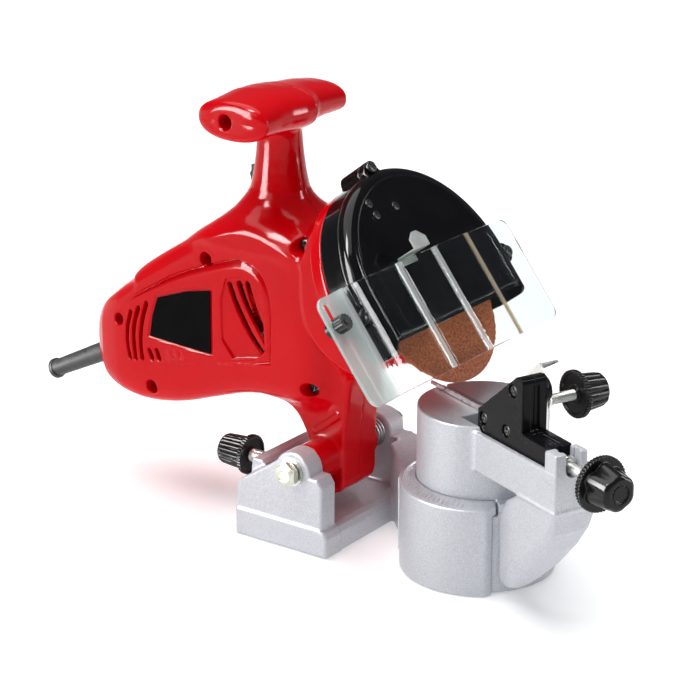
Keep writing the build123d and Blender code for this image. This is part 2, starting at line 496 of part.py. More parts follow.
fb -= cyl(11.02, -46.0, -30, 0, M) + cyl(8.0, -60, -30, 0, M) + cyl(13.02, -46.2, -30) + cyl(9.0, -60, -30)
put("gear_case_plate", fb, HEAD)
st = cyl(24.0, -97.0, -67.0) - cyl(14.2, -110, -60)
for s in (-1, 1):
    st -= box(min(s * 8, s * 19), max(s * 8, s * 19), -9.5, 9.5, -110, -60) - cyl(14.2, -110, -60)
put("stator", st, HEAD * Pos(0, M, 0))
fc = None
for s in (-1, 1):
    x0, x1 = sorted((s * 14.9, s * 18.4))
    c = box(x0, x1, -9.0, 9.0, -102.0, -62.0)
    fc = c if fc is None else fc + c
put("field_coils", fc, HEAD * Pos(0, M, 0))
bh = None
br = None
for s in (-1, 1):
    x0, x1 = sorted((s * 10.5, s * 23.0))
    c = box(x0, x1, -4.4, 4.4, -116.0, -106.0) - box(min(x0, x1) - 1, max(x0, x1) + 1, -3.1, 3.1, -114.6, -107.4)
    bh = c if bh is None else bh + c
    x0, x1 = sorted((s * 9.15, s * 19.0))
    c = box(x0, x1, -3.0, 3.0, -114.5, -107.5)
    br = c if br is None else br + c
put("brush_holders", bh, HEAD * Pos(0, M, 0))
put("carbon_brushes", br, HEAD * Pos(0, M, 0))

# ================================================================ wheel guard and shield (HEAD frame)
LUGS = [(-4.6, 77.0, 79.6, 0), (66.5, 5.5, 5.5, 2.0), (-70.5, 5.5, 5.5, -2.0)]   # x, v, screw v, screw x offset
GB0, GSPLIT, GF = -7.3, 8.0, 16.7
gb = extrude(Plane.XY.offset(GB0) * u_shape(67.2, 20.0), amount=GSPLIT - GB0)
gb -= extrude(Plane.XY.offset(GB0 + 2.4) * u_shape(64.6, 25.0), amount=40)
gc = extrude(Plane.XY.offset(GSPLIT) * u_shape(67.2, 20.0), amount=GF - GSPLIT)
front_edges = gc.edges().filter_by_position(Axis.Z, GF - 0.01, GF + 0.01)
try:
    gc = fillet(front_edges, 4.6)
except Exception:
    gc = chamfer(front_edges, 3.0)
gc -= extrude(Plane.XY.offset(GSPLIT - 1) * u_shape(62.0, 25.0), amount=GF - GSPLIT - 1.4)
gb -= cyl(18.0, -10, 0)
gs = None
lug_hollow = extrude(Plane.XY.offset(GB0 + 2.4) * u_shape(64.6, 25.0), amount=GSPLIT - GB0 + 2)
for x, v, sv, dx in LUGS:
    sx = x + dx
    top = 9.9 if x < -50 else 13.0
    ear_b, ear_c = cyl(6.4, GB0, GSPLIT, x, v), cyl(6.4, GSPLIT, top, x, v)
    if x < -50:
        ear_b += box(x, x + 6.5, v - 6.4, v + 6.4, GB0, GSPLIT)
        ear_c += box(x, x + 6.5, v - 6.4, v + 6.4, GSPLIT, top)
    gb += ear_b - lug_hollow
    gc += ear_c - lug_hollow
    gc -= cyl(4.3, top, GF + 5, sx, sv)
    gb -= cyl(2.05, GB0 - 1, GSPLIT + 1, sx, sv)
    gc -= cyl(2.05, GSPLIT - 1, GF + 2, sx, sv)
    t2 = 11.95 if x < -50 else 13.0
    c = cyl(2.0, GB0 + 1, t2, sx, sv) + cyl(3.7, t2, t2 + 2.4, sx, sv)
    c -= Pos(sx, sv, t2 + 2.4) * (Box(4.6, 1.0, 2.0) + Box(1.0, 4.6, 2.0))
    gs = c if gs is None else gs + c
put("guard_body", gb, HEAD)
# small fixing screws of the inner splash plate, seen on the cover's face
SMALL = [(-27.0, 60.0), (-26.0, 52.5), (-7.0, 53.5)]
sm = None
for x, v in SMALL:
    gc -= cyl(1.55, GF - 4, GF + 2, x, v)
    c = cyl(1.5, GF - 2.3, GF, x, v) + cyl(2.6, GF, GF + 1.1, x, v)
    sm = c if sm is None else sm + c
put("guard_cover", gc, HEAD)
put("guard_screws", gs + sm, HEAD)

SX, SV = -97.6, 5.5
LX = LUGS[2][0] + LUGS[2][3]
bk = extrude(Plane.XY.offset(9.95) * (Pos((SX + LX) / 2.0, SV) * SlotOverall(abs(SX - LX) + 9.6, 9.6)), amount=1.95)
bk -= cyl(2.05, 5, 15, SX, SV) + cyl(2.1, 5, 15, LX, SV)
bk -= extrude(Plane.XY.offset(5) * u_shape(67.3, 20.0), amount=15)
put("shield_bracket", bk, HEAD)
put("shield_bolt", cyl(4.2, 7.9, 9.9, SX, SV) + cyl(2.0, 9.0, 21.5, SX, SV), HEAD)
tn = cyl(4.7, 14.3, 21.0, SX, SV)
for i in range(8):
    a = 2 * pi * i / 8
    tn -= cyl(0.9, 14, 22, SX + 5.0 * cos(a), SV + 5.0 * sin(a))
tn -= cyl(2.03, 10, 25, SX, SV)
put("thumb_nut", tn, HEAD)

line = [(-103.7, 13.0), (-91.0, 13.0), (-86.0, 22.0), (-42.5, 23.6), (-39.5, 26.2), (-11.0, 26.4), (-8.0, 28.6), (21.5, 28.6), (24.5, 25.8), (67.0, 24.2)]
t = 1.0
up = [(x, n + t) for x, n in line]
dn = [(x, n - t) for x, n in line]
prof = up + dn[::-1]
V0, V1 = -41.7, 22.8
pl = Plane(origin=(0, V0, 0), x_dir=(1, 0, 0), z_dir=(0, -1, 0))
shd = extrude(pl * Polygon(*prof, align=None), amount=V1 - V0, dir=(0, 1, 0))
shd = shd & extrude(Plane.XY * (Pos((-103.7 + 67.0) / 2.0, (V0 + V1) / 2.0) * RectangleRounded(170.7, V1 - V0, 6.5)), amount=60)
shd -= extrude(Plane.XY * (Pos(SX, SV + 5.9) * (Rot(0, 0, 90) * SlotOverall(16.4, 4.5))), amount=60)
put("shield", shd, HEAD)
# sheet clip that steadies the shield's upper edge
clip = box(-29.0, -15.0, 25.0, 38.0, GF, GF + 1.2) + box(-29.0, -15.0, 24.4, 25.7, GF, 31.2)
clip += box(-29.0, -15.0, 19.5, 25.7, 30.0, 31.2)
put("shield_clip", clip, HEAD)
print("parts written")
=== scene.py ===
import bpy
import numpy as np
from math import sin, cos, tan, pi, radians, sqrt, atan2, hypot
from mathutils import Matrix, Vector


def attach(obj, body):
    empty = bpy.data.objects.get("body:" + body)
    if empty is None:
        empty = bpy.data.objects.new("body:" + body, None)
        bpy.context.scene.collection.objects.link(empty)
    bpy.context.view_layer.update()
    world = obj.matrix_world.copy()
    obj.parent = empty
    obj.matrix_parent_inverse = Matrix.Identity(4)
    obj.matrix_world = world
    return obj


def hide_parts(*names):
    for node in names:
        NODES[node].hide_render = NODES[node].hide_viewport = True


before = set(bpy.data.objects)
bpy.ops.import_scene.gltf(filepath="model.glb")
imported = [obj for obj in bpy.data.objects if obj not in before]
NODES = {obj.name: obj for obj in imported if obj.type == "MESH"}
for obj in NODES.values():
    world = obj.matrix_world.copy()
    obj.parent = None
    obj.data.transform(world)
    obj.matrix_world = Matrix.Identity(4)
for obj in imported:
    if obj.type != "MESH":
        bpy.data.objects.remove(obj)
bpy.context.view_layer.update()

MM = 0.001

# ------------------------------------------------------------------ frames (millimetres)
HEAD = np.array([[1, 0, 0, 0], [0, 0.6, -0.8, -81.2], [0, 0.8, 0.6, 150.3], [0, 0, 0, 1]], float)
BETA = radians(-23.0)
VISE = np.array([[cos(BETA), -sin(BETA), 0, 0], [sin(BETA), cos(BETA), 0, -118.5], [0, 0, 1, 0], [0, 0, 0, 1]], float)
WORLD = np.eye(4)


def at(x, y, z, zdir=(0, 0, 1), xdir=(1, 0, 0), base=None):
    """frame with its origin at (x, y, z) and its Z along zdir, inside base"""
    w = np.array(zdir, float)
    w /= np.linalg.norm(w)
    u = np.array(xdir, float)
    u = u - w * (u @ w)
    if np.linalg.norm(u) < 1e-6:
        u = np.array((0, 1, 0), float) - w * w[1]
    u /= np.linalg.norm(u)
    m = np.eye(4)
    m[:3, 0], m[:3, 1], m[:3, 2], m[:3, 3] = u, np.cross(w, u), w, (x, y, z)
    return m if base is None else base @ m


# ------------------------------------------------------------------ distance functions
def smin(a, b, k):
    h = np.maximum(k - np.abs(a - b), 0.0) / k
    return np.minimum(a, b) - h * h * (k * 0.25)


def smax(a, b, k):
    return -smin(-a, -b, k)


def hyp(a, b):
    return np.sqrt(a * a + b * b)


def rmax(a, b, r):
    """intersection of two half spaces with a rounded edge of radius r"""
    a2, b2 = a + r, b + r
    return np.minimum(np.maximum(a2, b2), 0.0) + hyp(np.maximum(a2, 0.0), np.maximum(b2, 0.0)) - r


def rbox(x, y, z, c, h, r=0.5):
    qx, qy, qz = np.abs(x - c[0]) - h[0] + r, np.abs(y - c[1]) - h[1] + r, np.abs(z - c[2]) - h[2] + r
    out = np.sqrt(np.maximum(qx, 0) ** 2 + np.maximum(qy, 0) ** 2 + np.maximum(qz, 0) ** 2)
    return out + np.minimum(np.maximum(qx, np.maximum(qy, qz)), 0) - r


def bx(x, y, z, x0, x1, y0, y1, z0, z1, r=0.5):
    return rbox(x, y, z, ((x0 + x1) / 2, (y0 + y1) / 2, (z0 + z1) / 2), ((x1 - x0) / 2, (y1 - y0) / 2, (z1 - z0) / 2), r)


def disc(a, b, w, r, w0, w1, rr=0.5):
    """cylinder: (a, b) across, w along"""
    return rmax(hyp(a, b) - r, np.abs(w - (w0 + w1) / 2) - (w1 - w0) / 2, rr)


def poly2(u, v, pts):
    """signed distance to a closed polygon"""
    pts = np.asarray(pts, float)
    n = len(pts)
    best = None
    sign = None
    for i in range(n):
        ax, ay = pts[i]
        bx_, by_ = pts[(i + 1) % n]
        ex, ey = bx_ - ax, by_ - ay
        wx, wy = u - ax, v - ay
        t = np.clip((wx * ex + wy * ey) / (ex * ex + ey * ey + 1e-12), 0.0, 1.0)
        dx, dy = wx - ex * t, wy - ey * t
        d = dx * dx + dy * dy
        best = d if best is None else np.minimum(best, d)
        c1 = v >= ay
        c2 = v < by_
        c3 = ex * wy > ey * wx
        flip = (c1 & c2 & c3) | (~c1 & ~c2 & ~c3)
        s = np.where(flip, -1.0, 1.0)
        sign = s if sign is None else sign * s
    return sign * np.sqrt(best)


def line2(u, v, pts):
    """distance to an open polyline"""
    best = None
    for (ax, ay), (bx_, by_) in zip(pts[:-1], pts[1:]):
        ex, ey = bx_ - ax, by_ - ay
        wx, wy = u - ax, v - ay
        t = np.clip((wx * ex + wy * ey) / (ex * ex + ey * ey + 1e-12), 0.0, 1.0)
        d = (wx - ex * t) ** 2 + (wy - ey * t) ** 2
        best = d if best is None else np.minimum(best, d)
    return np.sqrt(best)


def chaikin(pts, n=2, closed=True):
    p = np.asarray(pts, float)
    for _ in range(n):
        if closed:
            q = np.roll(p, -1, axis=0)
            p = np.stack([p * 0.75 + q * 0.25, p * 0.25 + q * 0.75], 1).reshape(-1, 2)
        else:
            a, b = p[:-1], p[1:]
            m = np.stack([a * 0.75 + b * 0.25, a * 0.25 + b * 0.75], 1).reshape(-1, 2)
            p = np.vstack([p[:1], m, p[-1:]])
    return p


def hexa(a, b, af):
    """regular hexagon, af across flats"""
    a, b = np.abs(a), np.abs(b)
    return np.maximum(a * 0.5 + b * 0.8660254, a) - af / 2.0


# ------------------------------------------------------------------ mesher
def nets(f, lo, hi, h, iters=3):
    """closed quad mesh of f = 0 and its vertex normals"""
    ax = [np.arange(lo[i] - 1.5 * h, hi[i] + 2.0 * h, h) for i in range(3)]
    n = [len(a) for a in ax]
    D = f(ax[0][:, None, None].astype(np.float32), ax[1][None, :, None].astype(np.float32), ax[2][None, None, :].astype(np.float32))
    D = np.ascontiguousarray(np.broadcast_to(D, n)).astype(np.float32)
    S = D < 0
    cnt = np.zeros([k - 1 for k in n], np.uint8)
    for i in (0, 1):
        for j in (0, 1):
            for k in (0, 1):
                cnt += S[i:n[0] - 1 + i, j:n[1] - 1 + j, k:n[2] - 1 + k]
    act = (cnt > 0) & (cnt < 8)
    I, J, K = np.nonzero(act)
    idx = np.full(act.shape, -1, np.int32)
    idx[act] = np.arange(len(I), dtype=np.int32)
    corner = [(i, j, k) for i in (0, 1) for j in (0, 1) for k in (0, 1)]
    val = np.stack([D[I + i, J + j, K + k] for i, j, k in corner], 1).astype(float)
    acc = np.zeros((len(I), 3))
    num = np.zeros(len(I))
    for a in range(8):
        for b in range(a + 1, 8):
            ca, cb = np.array(corner[a]), np.array(corner[b])
            if np.abs(ca - cb).sum() != 1:
                continue
            va, vb = val[:, a], val[:, b]
            m = (va < 0) != (vb < 0)
            t = np.where(m, va / np.where(m, va - vb, 1.0), 0.0)
            acc += m[:, None] * (ca + t[:, None] * (cb - ca))
            num += m
    P = np.stack([I, J, K], 1) + acc / num[:, None]
    P = P * h + np.array([a[0] for a in ax])
    quads = []
    d = S[:-1, 1:-1, 1:-1] != S[1:, 1:-1, 1:-1]
    i, j, k = np.nonzero(d)
    j, k = j + 1, k + 1
    q = np.stack([idx[i, j - 1, k - 1], idx[i, j, k - 1], idx[i, j, k], idx[i, j - 1, k]], 1)
    ins = S[i, j, k]
    quads.append(np.where(ins[:, None], q, q[:, ::-1]))
    d = S[1:-1, :-1, 1:-1] != S[1:-1, 1:, 1:-1]
    i, j, k = np.nonzero(d)
    i, k = i + 1, k + 1
    q = np.stack([idx[i - 1, j, k - 1], idx[i - 1, j, k], idx[i, j, k], idx[i, j, k - 1]], 1)
    ins = S[i, j, k]
    quads.append(np.where(ins[:, None], q, q[:, ::-1]))
    d = S[1:-1, 1:-1, :-1] != S[1:-1, 1:-1, 1:]
    i, j, k = np.nonzero(d)
    i, j = i + 1, j + 1
    q = np.stack([idx[i - 1, j - 1, k], idx[i, j - 1, k], idx[i, j, k], idx[i - 1, j, k]], 1)
    ins = S[i, j, k]
    quads.append(np.where(ins[:, None], q, q[:, ::-1]))
    Q = np.vstack(quads)
    P0 = P.copy()

    def grad(p, e):
        o = np.zeros_like(p)
        for s in ((1, -1, -1), (-1, -1, 1), (-1, 1, -1), (1, 1, 1)):
            s = np.array(s, float)
            v = f(p[:, 0] + s[0] * e, p[:, 1] + s[1] * e, p[:, 2] + s[2] * e)
            o += s * np.asarray(v)[:, None]
        return o / (4 * e)

    for _ in range(iters):
        g = grad(P, h * 0.15)
        d = np.asarray(f(P[:, 0], P[:, 1], P[:, 2]))
        gg = np.maximum((g * g).sum(1), 0.15)
        P = P - g * (d / gg)[:, None]
        off = P - P0
        L = np.linalg.norm(off, axis=1)
        lim = 0.7 * h
        P = P0 + off * np.minimum(1.0, lim / np.maximum(L, 1e-9))[:, None]
    g = grad(P, h * 0.35)
    N = g / np.maximum(np.linalg.norm(g, axis=1), 1e-9)[:, None]
    return P, Q, N


def build(name, P, Q, N, M, body, mat, repl=(), slot=None):
    """Blender object from points in millimetres of frame M"""
    P = P @ M[:3, :3].T + M[:3, 3]
    if N is not None:
        N = N @ M[:3, :3].T
    me = bpy.data.meshes.new(name)
    me.vertices.add(len(P))
    me.vertices.foreach_set("co", (P * MM).astype(np.float32).ravel())
    Q = np.asarray(Q)
    k = Q.shape[1]
    me.loops.add(Q.size)
    me.loops.foreach_set("vertex_index", Q.astype(np.int32).ravel())
    me.polygons.add(len(Q))
    me.polygons.foreach_set("loop_start", np.arange(0, Q.size, k, dtype=np.int32))
    me.polygons.foreach_set("loop_total", np.full(len(Q), k, np.int32))
    me.polygons.foreach_set("use_smooth", np.ones(len(Q), bool))
    me.update(calc_edges=True)
    me.validate()
    if N is not None:
        me.normals_split_custom_set_from_vertices([tuple(v) for v in N])
    me.materials.append(mat)
    ob = bpy.data.objects.new(name, me)
    bpy.context.scene.collection.objects.link(ob)
    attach(ob, body)
    if repl:
        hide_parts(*repl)
    return ob


def solid(name, f, lo, hi, h, body, mat, repl=(), M=WORLD, slot=None, iters=3):
    P, Q, N = nets(f, lo, hi, h, iters)
    return build(name, P, Q, N, M, body, mat, repl, slot)


def merge(parts):
    """several (P, Q, N) as one"""
    Ps, Qs, Ns, n = [], [], [], 0
    for P, Q, N in parts:
        Ps.append(P)
        Qs.append(Q + n)
        Ns.append(N)
        n += len(P)
    return np.vstack(Ps), np.vstack(Qs), np.vstack(Ns)


def moved(part, M):
    P, Q, N = part
    return P @ M[:3, :3].T + M[:3, 3], Q, N @ M[:3, :3].T


# ------------------------------------------------------------------ materials
class Mat:
    def __init__(self, name, color, rough=0.5, metal=0.0, **kw):
        self.m = bpy.data.materials.new(name)
        self.m.use_nodes = True
        self.t = self.m.node_tree
        self.b = self.t.nodes["Principled BSDF"]
        self.b.inputs["Base Color"].default_value = (*color, 1)
        self.b.inputs["Roughness"].default_value = rough
        self.b.inputs["Metallic"].default_value = metal
        for k, v in kw.items():
            self.b.inputs[k.replace("_", " ")].default_value = v
        self.tc = self.t.nodes.new("ShaderNodeTexCoord")
        self.h = None
        self.col = None
        self.color = color

    def noise(self, scale, detail=3.0, rough=0.55, stretch=None):
        n = self.t.nodes.new("ShaderNodeTexNoise")
        n.inputs["Scale"].default_value = scale
        n.inputs["Detail"].default_value = detail
        n.inputs["Roughness"].default_value = rough
        if stretch:
            mp = self.t.nodes.new("ShaderNodeMapping")
            mp.inputs["Scale"].default_value = stretch
            self.t.links.new(self.tc.outputs["Object"], mp.inputs["Vector"])
            self.t.links.new(mp.outputs["Vector"], n.inputs["Vector"])
        else:
            self.t.links.new(self.tc.outputs["Object"], n.inputs["Vector"])
        return n.outputs["Fac"]

    def voronoi(self, scale):
        n = self.t.nodes.new("ShaderNodeTexVoronoi")
        n.inputs["Scale"].default_value = scale
        self.t.links.new(self.tc.outputs["Object"], n.inputs["Vector"])
        return n.outputs["Distance"]

    def ramp(self, fac, stops):
        r = self.t.nodes.new("ShaderNodeValToRGB")
        e = r.color_ramp.elements
        e[0].position, e[0].color = stops[0][0], (*stops[0][1], 1)
        e[1].position, e[1].color = stops[-1][0], (*stops[-1][1], 1)
        for p, c in stops[1:-1]:
            x = e.new(p)
            x.color = (*c, 1)
        self.t.links.new(fac, r.inputs["Fac"])
        return r.outputs["Color"]

    def range(self, fac, a, b, lo=0.0, hi=1.0):
        r = self.t.nodes.new("ShaderNodeMapRange")
        r.inputs["From Min"].default_value = lo
        r.inputs["From Max"].default_value = hi
        r.inputs["To Min"].default_value = a
        r.inputs["To Max"].default_value = b
        self.t.links.new(fac, r.inputs["Value"])
        return r.outputs["Result"]

    def mix(self, fac, a, b):
        x = self.t.nodes.new("ShaderNodeMix")
        x.data_type = "RGBA"
        self.t.links.new(fac, x.inputs["Factor"])
        for s, v in (("A", a), ("B", b)):
            sock = [i for i in x.inputs if i.name == s and i.type == "RGBA"][0]
            if isinstance(v, tuple):
                sock.default_value = (*v, 1)
            else:
                self.t.links.new(v, sock)
        return [o for o in x.outputs if o.type == "RGBA"][0]

    def math(self, op, a, b):
        x = self.t.nodes.new("ShaderNodeMath")
        x.operation = op
        for i, v in enumerate((a, b)):
            if isinstance(v, (int, float)):
                x.inputs[i].default_value = v
            else:
                self.t.links.new(v, x.inputs[i])
        return x.outputs[0]

    def set(self, sock, out):
        self.t.links.new(out, self.b.inputs[sock])
        return self

    def bump(self, fac, strength, dist=0.0002):
        n = self.t.nodes.new("ShaderNodeBump")
        n.inputs["Strength"].default_value = strength
        n.inputs["Distance"].default_value = dist
        self.t.links.new(fac, n.inputs["Height"])
        if self.h is not None:
            self.t.links.new(self.h, n.inputs["Normal"])
        self.h = n.outputs["Normal"]
        self.t.links.new(self.h, self.b.inputs["Normal"])
        return self

    def vary(self, scale, a, b, detail=4.0, lo=0.3, hi=0.7):
        """base colour between a and b by noise"""
        f = self.range(self.noise(scale, detail), 0.0, 1.0, lo, hi)
        return self.set("Base Color", self.mix(f, a, b))

    def rvary(self, scale, a, b, detail=4.0):
        return self.set("Roughness", self.range(self.noise(scale, detail), a, b, 0.3, 0.7))


def make_materials():
    m = {}
    r = Mat("red_plastic", (0.78, 0.0015, 0.008), 0.2, 0.0, Specular_IOR_Level=0.14)
    r.vary(9, (0.62, 0.0004, 0.004), (0.69, 0.0008, 0.006)).rvary(60, 0.10, 0.15)
    r.bump(r.noise(900, 2.0), 0.04, 0.0001).bump(r.noise(35, 2.0), 0.04, 0.0006)
    m["red"] = r.m
    r = Mat("black_gloss_plastic", (0.004, 0.004, 0.0045), 0.1, 0.0, Specular_IOR_Level=0.15)
    r.vary(30, (0.003, 0.003, 0.0035), (0.006, 0.006, 0.0065)).rvary(90, 0.06, 0.14)
    r.bump(r.noise(40, 2.0), 0.04, 0.0006)
    m["black_gloss"] = r.m
    r = Mat("black_knob_plastic", (0.006, 0.006, 0.0065), 0.22, 0.0, Specular_IOR_Level=0.22)
    r.vary(120, (0.0045, 0.0045, 0.005), (0.009, 0.009, 0.0095)).rvary(160, 0.16, 0.27)
    r.bump(r.noise(700, 2.0), 0.04, 0.00008)
    m["knob"] = r.m
    r = Mat("black_satin_plastic", (0.010, 0.010, 0.011), 0.42, 0.0, Specular_IOR_Level=0.2)
    r.vary(150, (0.008, 0.008, 0.009), (0.015, 0.015, 0.016)).rvary(220, 0.34, 0.5)
    r.bump(r.noise(2200, 3.0), 0.2, 0.0001)
    m["black_satin"] = r.m
    r = Mat("label_black", (0.0015, 0.0015, 0.0015), 0.12, 0.0, Specular_IOR_Level=0.03)
    r.vary(80, (0.0015, 0.0015, 0.0015), (0.003, 0.003, 0.0032)).rvary(150, 0.10, 0.15)
    r.bump(r.noise(1800, 2.0), 0.08, 0.0001)
    m["label"] = r.m
    r = Mat("cast_aluminium", (0.40, 0.41, 0.44), 0.42, 0.15, Specular_IOR_Level=0.3)
    f = r.range(r.noise(1300, 3.0, 0.7), 0.0, 1.0, 0.36, 0.64)
    g = r.range(r.noise(45, 4.0), 0.0, 1.0, 0.3, 0.7)
    c1 = r.mix(f, (0.46, 0.475, 0.51), (0.65, 0.665, 0.70))
    r.set("Base Color", r.mix(r.math("MULTIPLY", g, 0.35), c1, (0.56, 0.575, 0.61)))
    r.rvary(500, 0.34, 0.46)
    r.bump(r.noise(1300, 3.0, 0.7), 0.2, 0.00015).bump(r.noise(110, 3.0), 0.1, 0.0005)
    m["cast"] = r.m
    r = Mat("zinc_steel", (0.74, 0.74, 0.70), 0.28, 1.0)
    r.vary(90, (0.64, 0.65, 0.61), (0.74, 0.74, 0.72)).rvary(250, 0.24, 0.36)
    r.bump(r.noise(900, 3.0), 0.08, 0.0001)
    m["zinc"] = r.m
    r = Mat("machined_steel", (0.55, 0.55, 0.56), 0.3, 1.0)
    r.vary(250, (0.48, 0.48, 0.5), (0.62, 0.62, 0.63)).rvary(300, 0.24, 0.4)
    r.bump(r.noise(700, 3.0, 0.5, (1, 1, 8)), 0.1, 0.0001)
    m["steel"] = r.m
    r = Mat("spring_wire", (0.3, 0.3, 0.32), 0.35, 1.0)
    r.vary(400, (0.24, 0.24, 0.26), (0.38, 0.37, 0.37)).rvary(500, 0.28, 0.5)
    m["spring"] = r.m
    r = Mat("painted_tab", (0.36, 0.38, 0.36), 0.45, 0.1)
    r.vary(200, (0.30, 0.32, 0.30), (0.40, 0.42, 0.40)).rvary(300, 0.38, 0.52).bump(r.noise(1200, 3.0), 0.1, 0.0001)
    m["tab"] = r.m
    r = Mat("laminations", (0.32, 0.32, 0.34), 0.45, 0.9)
    w = r.t.nodes.new("ShaderNodeTexWave")
    w.bands_direction = "Y"
    w.inputs["Scale"].default_value = 320
    r.t.links.new(r.tc.outputs["Object"], w.inputs["Vector"])
    r.vary(200, (0.26, 0.26, 0.28), (0.4, 0.4, 0.42)).rvary(300, 0.38, 0.55).bump(w.outputs["Fac"], 0.3, 0.0003)
    m["lam"] = r.m
    r = Mat("copper_wire", (0.6, 0.24, 0.1), 0.35, 0.9)
    w = r.t.nodes.new("ShaderNodeTexWave")
    w.bands_direction = "X"
    w.inputs["Scale"].default_value = 260
    w.inputs["Distortion"].default_value = 0.6
    r.t.links.new(r.tc.outputs["Object"], w.inputs["Vector"])
    r.vary(120, (0.52, 0.19, 0.08), (0.7, 0.3, 0.13)).rvary(200, 0.28, 0.5).bump(w.outputs["Fac"], 0.5, 0.0003)
    m["copper"] = r.m
    r = Mat("carbon", (0.02, 0.02, 0.02), 0.6)
    r.vary(500, (0.014, 0.014, 0.014), (0.035, 0.035, 0.035)).rvary(500, 0.5, 0.75).bump(r.noise(2500, 3.0), 0.3, 0.0001)
    m["carbon"] = r.m
    r = Mat("nylon", (0.62, 0.6, 0.54), 0.45, 0.0)
    r.vary(60, (0.57, 0.55, 0.49), (0.67, 0.65, 0.6)).rvary(300, 0.38, 0.55).bump(r.noise(1200, 3.0), 0.12, 0.0001)
    m["nylon"] = r.m
    r = Mat("sleeve_rubber", (0.015, 0.015, 0.016), 0.5)
    r.vary(120, (0.011, 0.011, 0.012), (0.024, 0.024, 0.026)).rvary(260, 0.4, 0.6).bump(r.noise(1800, 3.0), 0.25, 0.0001)
    m["rubber"] = r.m
    r = Mat("abrasive", (0.42, 0.12, 0.05), 0.85)
    f = r.range(r.noise(750, 4.0, 0.8), 0.0, 1.0, 0.38, 0.62)
    g = r.range(r.noise(70, 3.0), 0.0, 1.0, 0.3, 0.7)
    c1 = r.mix(f, (0.22, 0.042, 0.014), (0.68, 0.18, 0.055))
    r.set("Base Color", r.mix(r.math("MULTIPLY", g, 0.3), c1, (0.48, 0.12, 0.036)))
    r.rvary(600, 0.7, 0.95)
    r.bump(r.voronoi(1300), 0.5, 0.0004).bump(r.noise(2500, 3.0), 0.4, 0.0002)
    m["abrasive"] = r.m
    r = Mat("black_oxide_steel", (0.012, 0.012, 0.013), 0.26, 0.4)
    r.vary(200, (0.008, 0.008, 0.009), (0.02, 0.02, 0.021)).rvary(500, 0.24, 0.42).bump(r.noise(1200, 3.0), 0.1, 0.0001)
    m["black_steel"] = r.m
    r = Mat("carriage_black", (0.004, 0.004, 0.005), 0.22, 0.0, Specular_IOR_Level=0.09)
    r.vary(120, (0.005, 0.005, 0.006), (0.009, 0.009, 0.010)).rvary(180, 0.13, 0.2).bump(r.noise(900, 2.0), 0.05, 0.00008)
    m["carriage"] = r.m
    r = Mat("zinc_yellow_green", (0.62, 0.64, 0.52), 0.3, 0.95)
    r.vary(90, (0.50, 0.53, 0.43), (0.62, 0.64, 0.55)).rvary(300, 0.26, 0.38).bump(r.noise(900, 3.0), 0.1, 0.0001)
    m["bolt"] = r.m
    r = Mat("clear_sheet", (0.90, 0.935, 0.925), 0.02, 0.0, Transmission_Weight=1.0, IOR=1.24)
    sep = r.t.nodes.new("ShaderNodeSeparateXYZ")
    r.t.links.new(r.tc.outputs["Object"], sep.inputs[0])
    X = sep.outputs["X"]
    wing = r.range(X, 1.0, 0.0, -0.0885, -0.0865)
    # painted reflection: an amber, less clear band along the fold near x 20 to 26 mm
    painted_fold_reflection = r.math("MULTIPLY", r.range(X, 0.0, 1.0, 0.0195, 0.0212), r.range(X, 1.0, 0.0, 0.0243, 0.0258))
    c0 = r.mix(r.range(r.noise(12, 3.0), 0.0, 1.0, 0.3, 0.7), (0.72, 0.775, 0.77), (0.77, 0.82, 0.81))
    c1 = r.mix(painted_fold_reflection, c0, (0.62, 0.50, 0.33))
    # painted highlights: pale, less clear bands along the sheet's folds near x -42, -10 and -87 mm stand in for light
    # glinting off the creases
    edge = r.math("MULTIPLY", r.range(X, 0.0, 1.0, -0.0424, -0.0419), r.range(X, 1.0, 0.0, -0.0406, -0.0401))
    fold_highlight_mid = r.math("MULTIPLY", r.range(X, 0.0, 1.0, -0.0115, -0.0108), r.range(X, 1.0, 0.0, -0.0086, -0.0079))
    fold_highlight_wing = r.math("MULTIPLY", r.range(X, 0.0, 1.0, -0.0884, -0.0879), r.range(X, 1.0, 0.0, -0.0866, -0.0861))
    painted_fold_highlight = r.math("MAXIMUM", r.math("MAXIMUM", edge, fold_highlight_mid), fold_highlight_wing)
    c2 = r.mix(painted_fold_highlight, r.mix(wing, c1, (0.66, 0.72, 0.70)), (0.86, 0.90, 0.89))
    r.set("Base Color", c2)
    # transmission drops under the painted fold highlights and the painted fold reflection, and on the left wing past
    # the fold
    hide = r.math("MAXIMUM", r.math("MULTIPLY", wing, 0.5), r.math("MAXIMUM", r.math("MULTIPLY", painted_fold_highlight, 0.38), r.math("MULTIPLY", painted_fold_reflection, 0.45)))
    r.set("Transmission Weight", r.math("SUBTRACT", 1.0, hide))
    r.set("Roughness", r.math("ADD", r.range(r.noise(25, 3.0), 0.01, 0.035, 0.35, 0.65), r.math("MULTIPLY", wing, 0.12)))
    r.bump(r.noise(20, 2.0), 0.01, 0.0005)
    m["clear"] = r.m
    return m


MATS = make_materials()


# ------------------------------------------------------------------ stage: camera, floor, light
def look_at(ob, target):
    d = Vector(target) - ob.location
    ob.rotation_euler = d.to_track_quat("-Z", "Y").to_euler()


